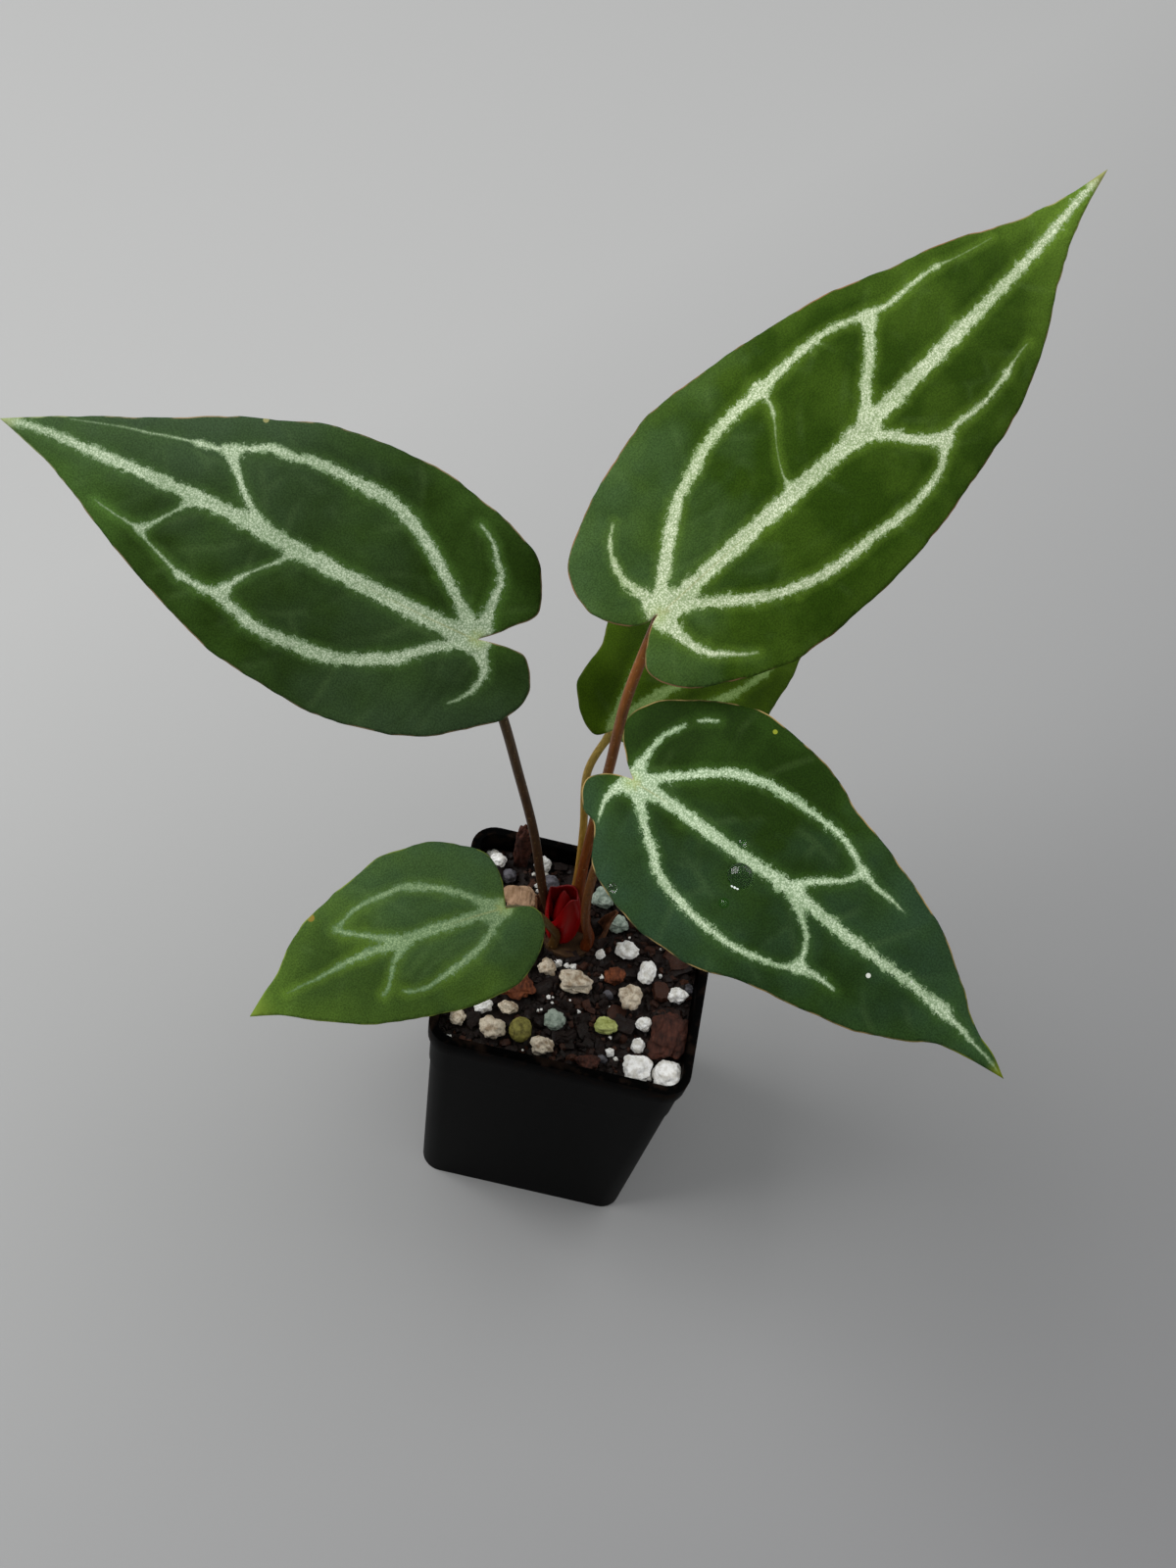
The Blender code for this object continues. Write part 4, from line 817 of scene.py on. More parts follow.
def vein_lines(blade, seed):
    """The silver bands vein by vein, their jagged spurs, and the midlines of the veins, as tapered lines."""
    draw = random.Random(seed)
    bands, spurs, ribs = [], [], []
    curves = [evenly(curve_through(blade.flat(route), 6), VEIN_STEP) for _, route in blade.leaf["veins"]]
    for number, (widths, _) in enumerate(blade.leaf["veins"]):
        curve = curves[number]
        half = np.interp(np.linspace(0, 1, len(curve)), (0, 0.5, 1), widths) * MM / 2
        half *= [1 + 0.2 * noise.noise(Vector((*p, seed)) / (2.4 * MM)) for p in curve]
        # A vein widens where the stalk meets the blade, and where it runs into the side of another.
        half += STALK_FLARE * np.exp(-(np.linalg.norm(curve, axis=1) / STALK_FLARE_REACH) ** 2)
        sides = np.vstack([other[4:-4] for other in curves[:number] + curves[number + 1:]])
        for end in (curve[0], curve[-1]):
            nearest = np.linalg.norm(sides - end, axis=1).min()
            if np.linalg.norm(end) > 6 * MM and nearest < JOINT_WITHIN:
                half += JOINT_FLARE * np.exp(-(np.linalg.norm(curve - end, axis=1) / FLARE_REACH) ** 2)
        bands.append(list(zip(curve, curve[1:], half, half[1:])))
        ribs += [(a, b, 0, 0, wide) for a, b, wide in zip(curve, curve[1:], half)]
        walked = draw.uniform(*SPUR_GAP) * MM
        while walked < VEIN_STEP * (len(curve) - 1):
            i = min(int(walked / VEIN_STEP), len(curve) - 2)
            ahead = (curve[i + 1] - curve[i]) / np.linalg.norm(curve[i + 1] - curve[i])
            lean = draw.choice((-1, 1)) * math.radians(draw.uniform(*SPUR_TURN))
            turned = np.array([ahead[0] * math.cos(lean) - ahead[1] * math.sin(lean),
                               ahead[0] * math.sin(lean) + ahead[1] * math.cos(lean)])
            reach = half[i] / abs(math.sin(lean)) + draw.uniform(*SPUR_REACH) * min(MM, 1.1 * half[i])
            spurs.append((curve[i], curve[i] + turned * reach, 0.85 * half[i], SPUR_TIP))
            walked += draw.uniform(*SPUR_GAP) * MM
    return bands, spurs, ribs


def side_veins(blade, bands, outline, seed):
    """The thin veins between the main ones and out to the margin, as lines. They leave a main vein forwards
    and bend towards the tip, until they meet the margin or another vein."""
    draw = random.Random(seed + 50)
    veins = [line[:2] for band in bands for line in band]
    rim = list(zip(outline, np.roll(outline, -1, axis=0)))

    def near(point, lines):
        a, b = np.array(lines).transpose(1, 0, 2)
        t = np.clip(((point - a) * (b - a)).sum(1) / np.maximum(((b - a) ** 2).sum(1), 1e-14), 0, 1)
        return np.linalg.norm(point - a - t[:, None] * (b - a), axis=1).min()

    lines = []
    for band in bands:
        walked = draw.uniform(*SIDE_VEIN_START) * MM
        while walked < VEIN_STEP * (len(band) - 2) and len(band) > 20:
            start, end, half, _ = band[int(walked / VEIN_STEP)]
            for turn in (-1, 1):
                heading = math.atan2(*(end - start)[::-1])
                heading += turn * math.radians(draw.uniform(*SIDE_VEIN_TURN))
                route = [start]
                for step in range(SIDE_VEIN_MOST_STEPS):
                    ahead = np.array([math.cos(heading), math.sin(heading)])
                    route.append(route[-1] + SIDE_VEIN_STEP * ahead)
                    heading -= turn * math.radians(draw.uniform(*SIDE_VEIN_BEND))
                    clear = half + OFF_OWN_VEIN < step * SIDE_VEIN_STEP
                    if near(route[-1], rim) < OFF_RIM or clear and near(route[-1], veins) < OFF_VEIN:
                        break
                if len(route) > 4:
                    lines += [(a, b, 0, 0) for a, b in zip(route, route[1:])]
                    veins += list(zip(route, route[1:]))
            walked += draw.uniform(*SIDE_VEIN_GAP) * MM
    return lines


def fill_with_triangles(outline, midlines, spacing):
    """Points and triangles that fill an outline, with points along the midlines of the veins, so that a thin
    vein is drawn whole. The outline's own points come first."""
    low, high = outline.min(0), outline.max(0)
    rows = np.arange(low[1] + spacing / 2, high[1], spacing * math.sqrt(3) / 2)
    columns = np.arange(low[0], high[0], spacing)
    grid = np.array([(x + spacing / 2 * (k % 2), y) for k, y in enumerate(rows) for x in columns])
    ends = np.roll(outline, -1, axis=0)
    crossings = np.zeros(len(grid), int)
    for a, b in zip(outline, ends):
        if a[1] != b[1]:
            crosses = (a[1] > grid[:, 1]) != (b[1] > grid[:, 1])
            crossings += crosses & (grid[:, 0] < a[0] + (grid[:, 1] - a[1]) * (b[0] - a[0]) / (b[1] - a[1]))
    grid = grid[crossings % 2 == 1]
    rim = [(a, b, 0, 0) for a, b in zip(outline, ends)]
    on_veins = []
    for point in midlines[line_distance(midlines, rim)[0] > LEAST_GAP * spacing]:
        if not on_veins or np.linalg.norm(np.array(on_veins) - point, axis=1).min() > 0.6 * spacing:
            on_veins.append(point)
    taken = rim + [(point, point, 0, 0) for point in on_veins]
    points = np.vstack([outline, on_veins, grid[line_distance(grid, taken)[0] > LEAST_GAP * spacing]])
    edges = [(i, (i + 1) % len(outline)) for i in range(len(outline))]
    inside_only, merge_within = 1, 1e-8
    found = delaunay_2d_cdt([Vector(p) for p in points.tolist()], edges, [], inside_only, merge_within)
    return np.array([tuple(p) for p in found[0]]), np.array(found[2])


def blade_mesh(blade, seed):
    """A blade of two faces and a thin rim. Its points carry where they lie and how far off the veins are."""
    outline = blade_outline(blade, seed)
    bands, spurs, ribs = vein_lines(blade, seed)
    flat, triangles = fill_with_triangles(outline, np.array([line[0] for line in ribs]), SPACING)
    # Where bands meet, silver fills the corners between them, so their distances are joined softly.
    away = np.array([line_distance(flat, band)[0] for band in bands])
    silver = -WEB * np.log(np.exp(-away / WEB).sum(axis=0))
    silver = np.minimum(silver, line_distance(flat, spurs)[0])
    fine, _ = line_distance(flat, side_veins(blade, bands, outline, seed))
    rib, nearest = line_distance(flat, [line[:4] for line in ribs])
    rib_size = np.array([line[4] for line in ribs])[nearest] / (1.5 * MM)
    margin, _ = line_distance(flat, [(a, b, 0, 0) for a, b in zip(outline, np.roll(outline, -1, axis=0))])
    middle, normals = blade.place(flat), blade.normals(flat)
    quilt = QUILT * (1 - np.exp(-(rib / QUILT_REACH) ** 2)) * np.clip(margin / (4 * MM), 0, 1)
    quilt -= SIDE_VEIN_DEPTH * np.exp(-(fine / (0.7 * MM)) ** 2) * np.clip(margin / (3 * MM), 0, 1)
    quilt += np.array([0.1 * MM * noise.noise(Vector((*p, seed)) / (5 * MM)) for p in flat])
    thick = MARGIN_THICKNESS + (THICKNESS - MARGIN_THICKNESS) * np.clip(margin / (1.5 * MM), 0, 1)
    wide = RIB_WIDTH * np.clip(rib_size, 0.5, 1)
    ridge = RIB_HEIGHT * np.clip(rib_size, 0.1, 1.1) * np.exp(-(rib / wide) ** 2)
    ridge = np.maximum(ridge, SIDE_VEIN_RIB * np.exp(-(fine / (0.6 * MM)) ** 2))
    ridge *= np.clip(margin / (2 * MM), 0, 1)
    upper = middle + normals * (quilt + thick / 2)[:, None]
    lower = middle + normals * (quilt - thick / 2 - ridge)[:, None]
    count = len(flat)
    steps = np.vstack([triangles[:, [0, 1]], triangles[:, [1, 2]], triangles[:, [2, 0]]])
    known = set(map(tuple, steps.tolist()))
    rim = [(b, a, a + count, b + count) for a, b in known if (b, a) not in known]
    faces = triangles.tolist() + (triangles[:, ::-1] + count).tolist() + sorted(rim)
    veins = np.column_stack([silver, rib, margin]) / MM
    threads = np.column_stack([fine / MM, np.clip(1.5 * rib_size, 0.12, 1), 0 * fine])
    return mesh_object(
        np.vstack([upper, lower]).tolist(), faces,
        lies=np.column_stack([np.tile(flat, (2, 1)), np.repeat([1.0, 0.0], count)]),
        veins=np.tile(veins, (2, 1)), threads=np.tile(threads, (2, 1)))


def velvet_leaf(name, leaf, length, half):
    """The skin of one leaf. Above, tiny domed cells drink the light, so the green is deep and almost without
    gloss, and air under the skin along the veins makes granular silver bands with frayed edges. The cells of
    0.1 mm are drawn at 0.35 mm so that they show. Below, it is plain pale green, and paler on the ribs."""
    material, shader, add = new_material(
        name, Specular_IOR_Level=0.035, Roughness=0.58, Sheen_Weight=0.01, Sheen_Roughness=0.5)
    lies = add("Attribute", out="Vector", attribute_name="lies")
    along, across, side = add("SeparateXYZ", (lies,)).node.outputs
    veins = add("Attribute", out="Vector", attribute_name="veins")
    silver, rib, margin = add("SeparateXYZ", (veins,)).node.outputs
    threads = add("Attribute", out="Vector", attribute_name="threads")
    fine, loose, _ = add("SeparateXYZ", (threads,)).node.outputs
    off_middle = add("Math", (across,), operation="ABSOLUTE")
    from_stalk = add("VectorMath", (lies, (0, 0, 1)), operation="DISTANCE")

    # Uneven patterns: size in mm, and detail.
    pattern = {}
    for use, size, detail in (
            ("clouds", 14, 3), ("patches", 9, 2), ("nicks", 5, 2), ("fray", 1.3, 2), ("cells", 0.35, 2)):
        pattern[use] = add("TexNoise", (lies, 1 / (size * MM), detail))
    grains = add("TexVoronoi", (lies, 1 / (0.36 * MM))).node.outputs

    # The edge of the silver, pushed in and out by fray and cells, less so on a thin vein.
    push = add("Math", (pattern["fray"], 2.0, -2.1), operation="MULTIPLY_ADD")
    push = add("Math", (pattern["cells"], 2.2, push), operation="MULTIPLY_ADD")
    edge = add("Math", (push, loose, silver), operation="MULTIPLY_ADD")

    # Shares that go smoothly from one value to another: what each is read from, two readings, two values.
    point_code, point_reach = leaf["point"]
    share = {}
    for use, *readings in (
            ("to_tip", along, 0.55 * length, length, 0, leaf["lighter"][0]),
            ("to_margin", margin, 7, 0.5, 0, leaf["lighter"][1]),
            ("by_silver", silver, 2.0, 0, 0, 0.4),
            ("clouds", pattern["clouds"], 0.3, 0.7, -0.15, 0.2),
            ("patches", pattern["patches"], 0.3, 0.7, -0.13, 0.13),
            ("side_veins", fine, 1.3, 0.1, 0, 1),
            ("side_veins_here", pattern["patches"], 0.42, 0.68, 0.0, 0.045),
            ("cells", pattern["cells"], 0.3, 0.7, 0.78, 1.24),
            ("silver", edge, 0.15, -0.45, 0, 1),
            ("grains", grains["Distance"], 0.7, 0.3, 0.4, 1),
            ("sparkle", grains["Color"], 0.3, 0.7, 0.65, 1),
            ("bright", silver, 0, -0.8, 0.35, 1),
            ("worn", pattern["clouds"], 0.35, 0.6, 0.75, 1),
            ("at_stalk", from_stalk, 3 * MM, 0.5 * MM, 0, 0.4),
            ("groove", rib, 0.32, 0.06, 0, 1),
            ("groove_middle", off_middle, 1.5 * MM, 0.7 * MM, 0, 1),
            ("groove_start", along, 0.3 * length, 0.02 * length, 0, 0.35),
            ("below_side_veins", fine, 0.7, 0.2, 0, 0.6),
            ("below_ribs", rib, 1.3, 0.3, 0, 1),
            ("rim", margin, 0.34, 0.1, 0, 1),
            ("rim_here", pattern["nicks"], 0.4, 0.62, 0, 1),
            ("rim_at_tip", along, 0.72 * length, 0.95 * length, 0, 1),
            ("point", along, length - point_reach * MM, length - 0.5 * MM, 0, 1)):
        share[use] = add("MapRange", readings, interpolation_type="SMOOTHSTEP")
    for use, factors in (("net", ("side_veins", "side_veins_here")),
                         ("grains", ("grains", "sparkle", "bright", "worn")),
                         ("groove", ("groove", "groove_middle", "groove_start")),
                         ("rim", ("rim", "rim_here"))):
        product = share[factors[0]]
        for factor in factors[1:]:
            product = add("Math", (product, share[factor]), operation="MULTIPLY")
        share[use] = product
    light = share["to_tip"]
    for more in ("to_margin", "by_silver", "clouds"):
        light = add("Math", (light, share[more]), operation="ADD")
    # Painted reflection: the share of bluish green, graded along and across the blade, stands in for the
    # velvet's sheen of the pale room.
    sheen_along, sheen_across, sheen_diagonal, sheen_base = leaf["painted_sheen"]
    painted_sheen = add("Math", (along, sheen_along / length, sheen_base), operation="MULTIPLY_ADD")
    slope = (along, sheen_diagonal / length / half, sheen_across / half)
    slope = add("Math", slope, operation="MULTIPLY_ADD")
    painted_sheen = add("Math", (across, slope, painted_sheen), operation="MULTIPLY_ADD")
    painted_sheen = add("Math", (painted_sheen, share["patches"]), operation="ADD")

    # The silver: brightest and full of bright grains in the middle of a band, thinning out over its edges.
    grey, silver_white = [linear(code) for code in leaf["silver"]]
    silvery = add("Mix", (share["grains"], grey, silver_white), data_type="RGBA")

    # The upper face, coat over coat: green with its painted sheen, its side veins, cells and silver, and a
    # few flaws, wet spots and painted glints.
    above, light_green, painted_sheen_green = [linear(code) for code in leaf["greens"]]
    for coat, tint in ((light, light_green), (painted_sheen, painted_sheen_green), (share["net"], linear("86A662"))):
        above = add("Mix", (coat, above, tint), data_type="RGBA")
    above = add("VectorMath", (above, share["cells"]), operation="SCALE")
    coats = [(share["silver"], silvery), (share["groove"], linear("9A955A")),
             (share["at_stalk"], linear("A0B46A"))]
    for spot_along, spot_across, radius, code in leaf["spots"]:
        centre = (spot_along / 100 * length, spot_across * leaf["across"] * MM, 1)
        away = add("VectorMath", (lies, centre), operation="DISTANCE")
        spot = add("MapRange", (away, radius * MM, 0.8 * radius * MM, 0, 0.92))
        coats.append((spot, linear(code)))
    for coat, tint in coats:
        above = add("Mix", (coat, above, tint), data_type="RGBA")

    # The lower face, and the rim round both.
    below = linear("5E7C48")
    for coat, tint in ((pattern["clouds"], "7C9A60"), (share["below_side_veins"], "A9BE86"),
                       (share["below_ribs"], "B7C78E")):
        below = add("Mix", (coat, below, linear(tint)), data_type="RGBA")
    rim = add("Mix", (share["rim_at_tip"], linear(leaf["margin"]), linear(point_code)), data_type="RGBA")
    colour = below
    for coat, tint in ((side, above), (share["rim"], rim), (share["point"], linear(point_code))):
        colour = add("Mix", (coat, colour, tint), data_type="RGBA")
    domes = add("Bump", {"Height": pattern["cells"], "Strength": 0.35, "Distance": 0.12 * MM})
    give_inputs(shader, {"Base Color": colour, "Normal": domes})
    return material


blades = {}
for seed, (name, leaf) in enumerate(LEAVES.items()):
    blades[name] = Blade(leaf)
    skin = velvet_leaf("velvet_leaf_" + name, leaf, blades[name].length, blades[name].half)
    finish_piece(blade_mesh(blades[name], seed), "blade_" + name + "_velvet", skin,
                 ["blade_" + name])

# Leaf stalks
# Each blade stands on its own slender stalk, round with a shallow groove, that bends at a thicker knee just
# under the blade and widens where it clasps the stem. The skin is waxy and goes from rust red to amber.
STALK_FOOT_Z = 71.0 * MM
KNEE = 7 * MM
STALK_SIDES = 28
STALK_STEP = 0.7 * MM
# Radius, foot on the crown and points that it passes through, all in mm, colours from foot to knee, and slot.
STALKS = {
    "upper_right": (
        1.42, (-0.6, 11.4), ((-3.6, 10.6, 88), (-4.8, 9.6, 115), (-4.9, 8.4, 142), (-5.4, 7.2, 170)),
        ("6A260A", "7A4818", "8E5424"), "stalk_terracotta"),
    "upper_left": (
        1.3, (-8.4, 9.0), ((-12.2, 8.1, 88), (-17.8, 6.8, 113), (-24.5, 5.1, 137), (-31.5, 3.0, 161)),
        ("3A2010", "48301A", "56462A"), "stalk_brown"),
    "lower_right": (
        1.3, (1.4, 6.2), ((-0.8, 2.6, 88), (-2.2, -1.4, 105), (-2.6, -6.5, 128), (-2.2, -12.0, 151)),
        ("642A0C", "6A441E", "7A5E30"), "stalk_terracotta"),
    "lower_left": (
        1.1, (-6.6, 4.4), ((-8.4, 1.0, 84), (-12.5, -6.0, 99), (-17.0, -14.0, 112)),
        ("4A3014", "625026", "7A7A3C"), "stalk_olive"),
    "rear": (
        1.1, (-4.6, 12.6), ((-4.9, 13.8, 90), (-6.6, 15.2, 108), (-9.0, 17.0, 127)),
        ("86481A", "AA8636", "B0964A"), "stalk_olive"),
}


def tube_faces(rings, sides, ends=2):
    """The faces between rings of points, and the flat end of the first ring, or of both."""
    last = (rings - 1) * sides
    faces = [(start + k, start + (k + 1) % sides, start + sides + (k + 1) % sides, start + sides + k)
             for start in range(0, last, sides) for k in range(sides)]
    return faces + [tuple(range(sides - 1, -1, -1)), tuple(range(last, last + sides))][:ends]


def swept(route, radii, sides, wrinkle):
    """A closed tube along a route, as points and faces, with a shape of its own round each ring."""
    ahead = np.gradient(route, axis=0)
    ahead /= np.linalg.norm(ahead, axis=1, keepdims=True)
    side = np.cross(ahead[0], (0.3, 1, 0.2))
    points = []
    around = np.linspace(0, 2 * np.pi, sides, endpoint=False)
    for i, (centre, direction) in enumerate(zip(route, ahead)):
        side = side - side.dot(direction) * direction
        side /= np.linalg.norm(side)
        across = np.cross(direction, side)
        reach = radii[i] * (1 + wrinkle(around, i))
        points.append(
            centre + np.outer(reach * np.cos(around), side) + np.outer(reach * np.sin(around), across))
    return np.vstack(points).tolist(), tube_faces(len(route), sides)


def waxy_stalk(name, colours):
    """Waxy skin of a leaf stalk: a low even gloss, fine streaks along it and small paler flecks."""
    material, shader, add = new_material(name, Specular_IOR_Level=0.18, Roughness=0.42)
    place = add("TexCoord", out="Object")
    rise = add("Attribute", out="Fac", attribute_name="rise")
    foot, middle, knee = [linear(code) for code in colours]
    lower = add("MapRange", (rise, 0, 0.5))
    upper = add("MapRange", (rise, 0.5, 0.98))
    colour = add("Mix", (lower, foot, middle), data_type="RGBA")
    colour = add("Mix", (upper, colour, knee), data_type="RGBA")
    long_way = add("Mapping", {"Vector": place, "Scale": (1, 1, 0.12)})
    streaks = add("TexNoise", (long_way, 1 / (0.5 * MM), 3))
    flecks = add("TexNoise", (place, 1 / (0.7 * MM), 1))
    tones = add("MapRange", (streaks, 0.3, 0.7, 0.72, 1.25))
    colour = add("VectorMath", (colour, tones), operation="SCALE")
    flecked = add("MapRange", (flecks, 0.66, 0.72, 0, 0.35))
    colour = add("Mix", (flecked, colour, linear("B79A6A")), data_type="RGBA")
    relief = add("Bump", {"Height": streaks, "Strength": 0.3, "Distance": 0.15 * MM})
    give_inputs(shader, {"Base Color": colour, "Normal": relief})
    return material


stalk_routes = []
for name, (radius, foot, through, colours, slot) in STALKS.items():
    blade = blades[name]
    seat = np.array([[1.2 * MM, 0]])
    normal, top = blade.normals(seat)[0], blade.place(seat)[0]
    start = np.array([foot[0] * MM, foot[1] * MM, STALK_FOOT_Z])
    middle = [np.array(point) * MM for point in through]
    route = curve_through([start, start + (0, 0, 5 * MM), *middle, top - normal * KNEE * 0.6,
                           top - normal * KNEE * 0.2, top + normal * 0.05 * MM], 10)
    route = evenly(route, STALK_STEP)
    to_top = np.linalg.norm(route - top, axis=1)
    to_foot = np.linalg.norm(route - start, axis=1)
    knee = np.sin(np.pi * np.clip(1.4 * (1 - to_top / KNEE), 0, 1))
    flare = np.clip(1 - to_foot / (16 * MM), 0, 1) ** 2
    radii = radius * MM * (0.92 + 0.22 * knee + 0.35 * flare - 0.06 * np.sin(np.pi * to_foot / to_foot.max()))
    stalk_routes.append((route, radii))

    def groove_and_wrinkles(around, i):
        return -0.10 * np.exp(-((around - np.pi) / 0.5) ** 2) + 0.03 * knee[i] * math.sin(2.3 * i)

    rise = np.repeat(np.linspace(0, 1, len(route)), STALK_SIDES)
    stalk = mesh_object(*swept(route, radii, STALK_SIDES, groove_and_wrinkles), rise=rise)
    finish_piece(stalk, "stalk_" + name, waxy_stalk("waxy_stalk_" + name, colours), ["petiole_" + name])

# Red sheath
# A fleshy deep red scale wraps the newest leaf, which is still a rolled-up spear. The scale stands like a
# pointed cup with a deep notch at its front, and its edges lap at the back.
SHEATH_SIDES = 48
SHEATH_THICKNESS = 0.35 * MM
# Foot and lean in mm, and the notch's direction in radians.
SHEATH_FOOT = np.array((-5.6, 7.2, 71.2))
SHEATH_LEAN = np.array((-1.7, 0.2, 0))
SHEATH_NOTCH = -1.9
# Height, the two radii and the room left round a stalk, all in mm, and then the outline: share of the height,
# share of the radii.
SHEATH_CUP = (19.2, (4.4, 2.9), 0.12, ((0, 0.66), (0.15, 0.86), (0.4, 1.0), (0.7, 1.0), (1, 0.84)))
SHEATH_SPEAR = (
    20.2, (2.8, 1.9), 0.6, ((0, 0.7), (0.3, 1.0), (0.6, 0.86), (0.85, 0.5), (0.97, 0.18), (1, 0.04)))


def lean_on_stalks(ring, centre, room):
    """Dents a ring of points where a stalk stands in its way, as the soft sheath gives way to the stalks."""
    for route, radii in stalk_routes:
        for k, point in enumerate(ring):
            away = np.linalg.norm(route - point * MM, axis=1)
            nearest = away.argmin()
            keep_off = radii[nearest] / MM + room
            if away[nearest] / MM >= keep_off:
                continue
            outwards = point[:2] - centre[:2]
            reach = np.linalg.norm(outwards)
            to_stalk = route[nearest, :2] / MM - centre[:2]
            ahead = to_stalk @ outwards / reach
            beside = to_stalk @ to_stalk - ahead ** 2
            hit = ahead - math.sqrt(max(0, keep_off ** 2 - beside))
            ring[k, :2] = centre[:2] + outwards / reach * min(reach, max(hit, 0.3 * reach))
    return ring


around = np.linspace(0, 2 * np.pi, SHEATH_SIDES, endpoint=False)
off_notch = np.angle(np.exp(1j * (around - SHEATH_NOTCH)))
fleshy = []
for tall, radii, room, outline in (SHEATH_CUP, SHEATH_SPEAR):
    is_cup = not fleshy
    top = 1 - (0.5 * np.exp(-(off_notch / 0.55) ** 2) + 0.05 * np.cos(3 * around)) * is_cup
    rings = []
    for share, width in evenly(curve_through(outline, 8), 0.03):
        centre = SHEATH_FOOT + SHEATH_LEAN * share ** 2
        ribs = 1 + 0.014 * np.sin(14 * around) + 0.04 * np.exp(-(np.abs(off_notch) - 2.6) ** 2 / 0.05)
        ring = np.column_stack([
            radii[0] * width * ribs * np.cos(around), radii[1] * width * ribs * np.sin(around),
            tall * share * top])
        rings.append(lean_on_stalks(centre + ring, centre, room))
    faces = tube_faces(len(rings), SHEATH_SIDES, ends=1 if is_cup else 2)
    fleshy.append(mesh_object((np.vstack(rings) * MM).tolist(), faces))
apply_modifier(fleshy[0], "SOLIDIFY", thickness=SHEATH_THICKNESS, offset=-1)

# Fleshy red skin: moist, with darker lengthwise veins, and brown-red towards the top.
red_skin, shader, add = new_material("fleshy_red_skin", Specular_IOR_Level=0.25, Roughness=0.38)
place = add("TexCoord", out="Object")
height = add("SeparateXYZ", (place,), "Z")
long_way = add("Mapping", {"Vector": place, "Scale": (1, 1, 0.08)})
streaks = add("TexNoise", (long_way, 1 / (0.8 * MM), 3))
dusky = add("MapRange", (height, 80 * MM, 92 * MM, 0, 0.7))
red = add("Mix", (streaks, linear("6E0206"), linear("B4040C")), data_type="RGBA")
colour = add("Mix", (dusky, red, linear("4E0A08")), data_type="RGBA")
relief = add("Bump", {"Height": streaks, "Strength": 0.3, "Distance": 0.2 * MM})
give_inputs(shader, {"Base Color": colour, "Normal": relief})
finish_piece(fleshy[0], "red_sheath_cup", red_skin, ["red_sheath"])
finish_piece(fleshy[1], "new_leaf_spear", red_skin)

# Old sheaths
# Scales that once wrapped earlier leaves, dry now: thin, papery, curled and brown, frayed at the top. They
# still stand at the edge of the crown.
OLD_SHEATH_SINK = 1.2 * MM
OLD_SHEATH_THICKNESS = 0.25 * MM
# Node, foot in mm, turn in degrees, and width, height and lean in mm.
OLD_SHEATHS = (
    ("old_sheath_1", (5.6, 11.0), 10, 5.5, 10, 1.5), ("old_sheath_2", (-12.4, 11.6), 155, 5.0, 8, 1.2))
dry_scale, shader, add = new_material("dry_scale", Specular_IOR_Level=0.2, Roughness=0.75)
place = add("TexCoord", out="Object")
long_way = add("Mapping", {"Vector": place, "Scale": (1, 1, 0.1)})
streaks = add("TexNoise", (long_way, 1 / (0.5 * MM), 4))
streaks = add("MapRange", (streaks, 0.3, 0.7))
colour = add("Mix", (streaks, linear("2C1810"), linear("7A5034")), data_type="RGBA")
relief = add("Bump", {"Height": streaks, "Strength": 0.6, "Distance": 0.2 * MM})
give_inputs(shader, {"Base Color": colour, "Normal": relief})
for node, foot, turn, width, tall, lean in OLD_SHEATHS:
    bpy.ops.mesh.primitive_grid_add(x_subdivisions=18, y_subdivisions=30, size=2)
    scale = bpy.context.object
    at_foot = Vector((foot[0] * MM, foot[1] * MM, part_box(node)[0].z - OLD_SHEATH_SINK))
    turned = Matrix.Rotation(math.radians(turn), 3, "Z")
    for vert in scale.data.vertices:
        s, t = vert.co.x, (vert.co.y + 1) / 2
        half = width / 2 * (1 - 0.75 * t ** 1.6)
        torn = 1 + 0.10 * noise.noise(Vector((s * 3, turn, 0))) * t
        out = lean * t * t - 2.6 * s * s * (1 - 0.7 * t) + 0.35 * noise.noise(Vector((s * 2, t * 3, turn)))
        vert.co = at_foot + turned @ Vector((out * MM, s * half * MM, (tall + 1) * torn * t * MM))
    apply_modifier(scale, "SOLIDIFY", thickness=OLD_SHEATH_THICKNESS, offset=0)
    finish_piece(scale, node + "_scale", dry_scale, [node])

# Water drops
# Four drops left on the lower right blade by a sprayer. The velvet holds them up as flat domes with a sharp
# edge, and they darken the green under them.
DROP_SINK = 0.12 * MM
# Name, place on the blade in percent, the two radii and the height in mm.
DROPS = (("water_drop_1", (30.7, -1.2), 2.9, 2.6, 1.5), ("water_drop_2", (11.1, -20.1), 1.2, 1.0, 0.6),
         ("water_drop_3", (26.7, 4.3), 1.0, 0.8, 0.5), ("water_drop_4", (31.6, -7.7), 0.8, 0.7, 0.35))
water, _, _ = new_material("water", Base_Color=(1, 1, 1, 1), Roughness=0.0, IOR=1.333,
                           Specular_IOR_Level=0.2, Transmission_Weight=1.0)
for name, spot, long_radius, short_radius, tall in DROPS:
    bpy.ops.mesh.primitive_uv_sphere_add(segments=48, ring_count=32, radius=1)
    drop = bpy.context.object
    blade = blades["lower_right"]
    unit = np.array([v.co for v in drop.data.vertices])
    flat = blade.flat([spot]) + unit[:, :2] * (long_radius * MM, short_radius * MM)
    rise = np.abs(unit[:, 2])
    lift = np.where(unit[:, 2] > 0, tall * MM * rise ** 0.8, -DROP_SINK * rise)
    places = blade.place(flat) + blade.normals(flat) * (THICKNESS / 2 + QUILT * 0.7 + lift)[:, None]
    drop.data.vertices.foreach_set("co", places.ravel())
    drop.data.update()
    drop.visible_shadow = False
    finish_piece(drop, name, water)
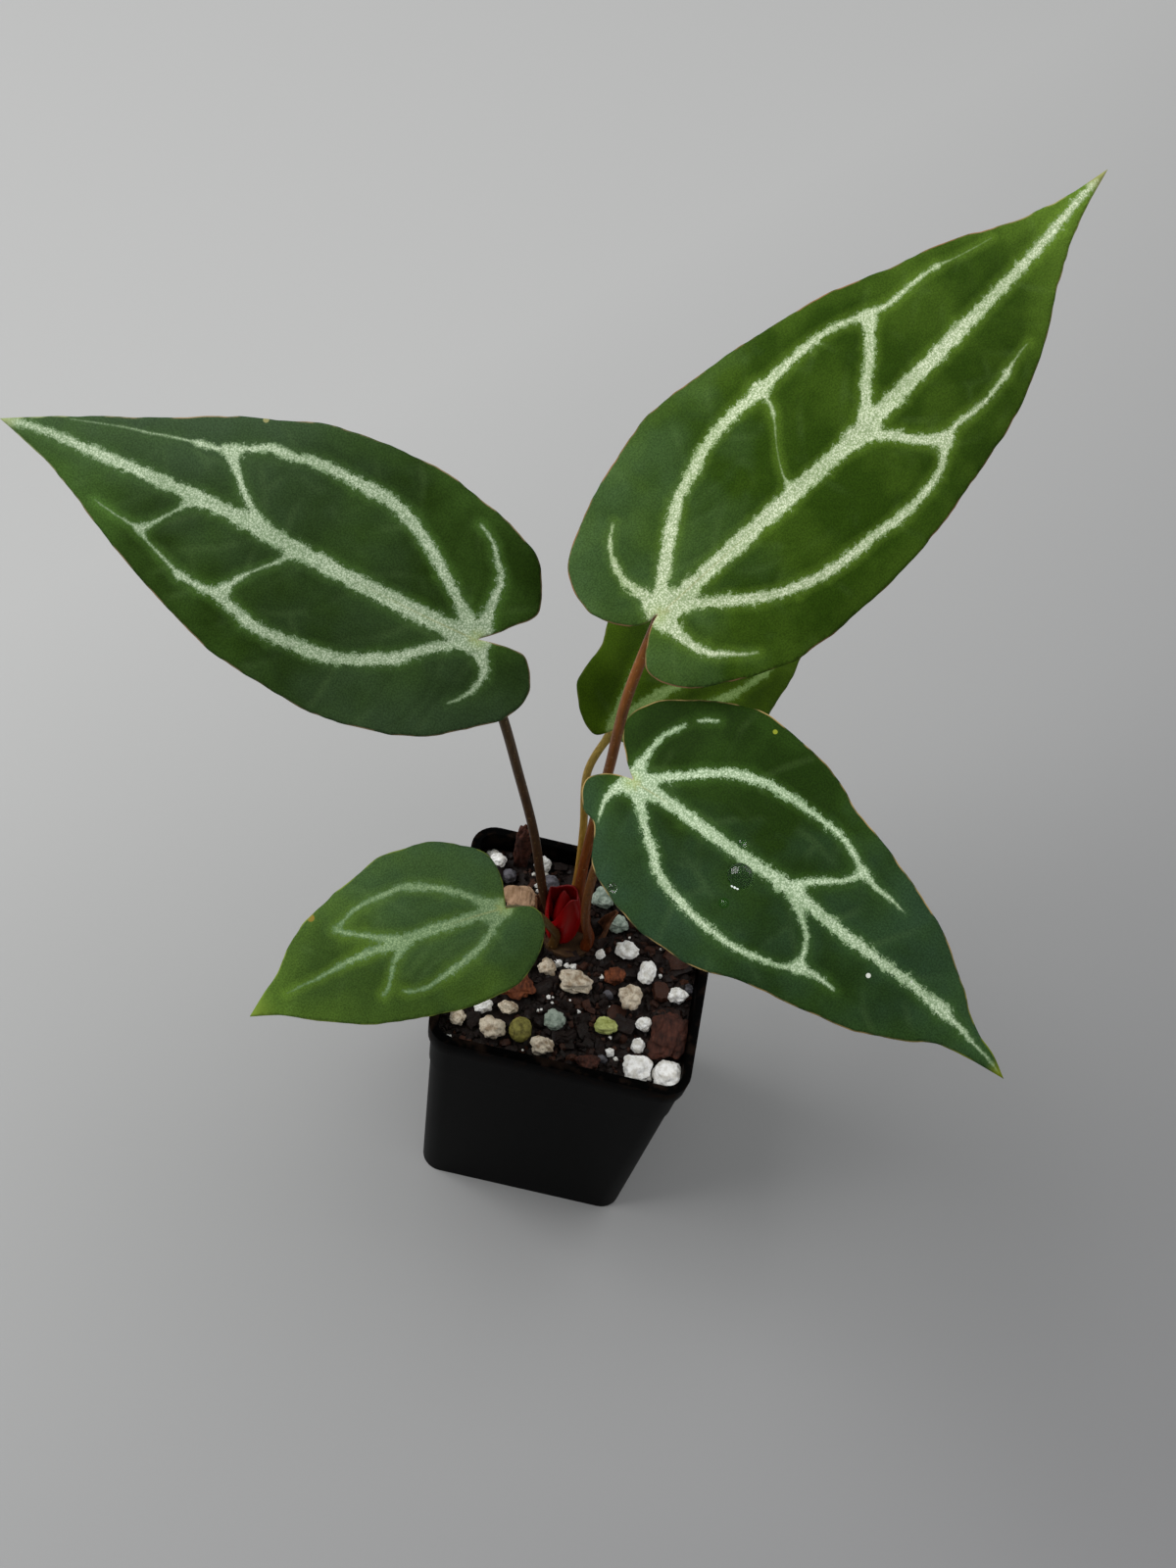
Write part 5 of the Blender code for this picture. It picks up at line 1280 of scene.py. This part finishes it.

# Floor, light and camera
# A pale floor, lit softly from the upper left as by a large window, and seen from above the front. Its colour
# holds a painted shade that darkens it away from the window.
FLOOR_SIZE = 6.0
floor_material, shader, add = new_material("pale_floor", Roughness=0.9, Specular_IOR_Level=0.1)
place = add("TexCoord", out="Object")
# Painted shade: the floor's colour goes from mid grey away from the window to pale grey towards it.
to_window = add("VectorMath", (place, (-0.8, 0.6, 0)), operation="DOT_PRODUCT")
shade = add("MapRange", (to_window, -0.22, 0.22))
colour = add("Mix", (shade, linear("858586"), linear("B3B3B2")), data_type="RGBA")
give_inputs(shader, {"Base Color": colour})
bpy.ops.mesh.primitive_plane_add(size=FLOOR_SIZE)
floor = bpy.context.object
floor.name = "floor"
floor.data.materials.append(floor_material)
floor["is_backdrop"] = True

world = bpy.data.worlds.new("soft_room")
bpy.context.scene.world = world
world.use_nodes = True
world.node_tree.nodes["Background"].inputs["Color"].default_value = linear("F2F4F6")
world.node_tree.nodes["Background"].inputs["Strength"].default_value = 0.42

# Name, place and size in metres, and power in watts.
LAMPS = (("window", (-0.95, -0.1, 1.2), 1.0, 19.0), ("room", (0.6, 0.5, 1.2), 1.2, 6.0))
for name, spot, size, power in LAMPS:
    lamp = bpy.data.lights.new(name, "AREA")
    lamp.size = size
    lamp.energy = power
    holder = bpy.data.objects.new(name, lamp)
    holder.location = spot
    holder.rotation_euler = (Vector((0, 0, 0.12)) - holder.location).to_track_quat("-Z", "Y").to_euler()
    bpy.context.scene.collection.objects.link(holder)

CAMERA_PLACE = (-23.4 * MM, -307.1 * MM, 562.2 * MM)
# Azimuth, elevation and roll in degrees, and lens and sensor in mm.
CAMERA_TURN = (-2.686, 53.562, 15.303)
CAMERA_LENS, CAMERA_SENSOR = 54, 36
azimuth, elevation, roll = [math.radians(angle) for angle in CAMERA_TURN]
back = Vector((math.sin(azimuth) * math.cos(elevation), -math.cos(azimuth) * math.cos(elevation),
               math.sin(elevation)))
level = (-back).cross(Vector((0, 0, 1))).normalized()
under = (-back).cross(level)
right = math.cos(roll) * level - math.sin(roll) * under
down = math.sin(roll) * level + math.cos(roll) * under
camera_data = bpy.data.cameras.new("camera")
camera_data.lens = CAMERA_LENS
camera_data.sensor_width = CAMERA_SENSOR
camera_data.clip_start = 0.01
camera = bpy.data.objects.new("camera", camera_data)
camera.matrix_world = Matrix.Translation(CAMERA_PLACE) @ Matrix((right, -down, back)).transposed().to_4x4()
bpy.context.scene.collection.objects.link(camera)
bpy.context.scene.camera = camera
bpy.context.scene.view_settings.view_transform = "Standard"

low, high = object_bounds()
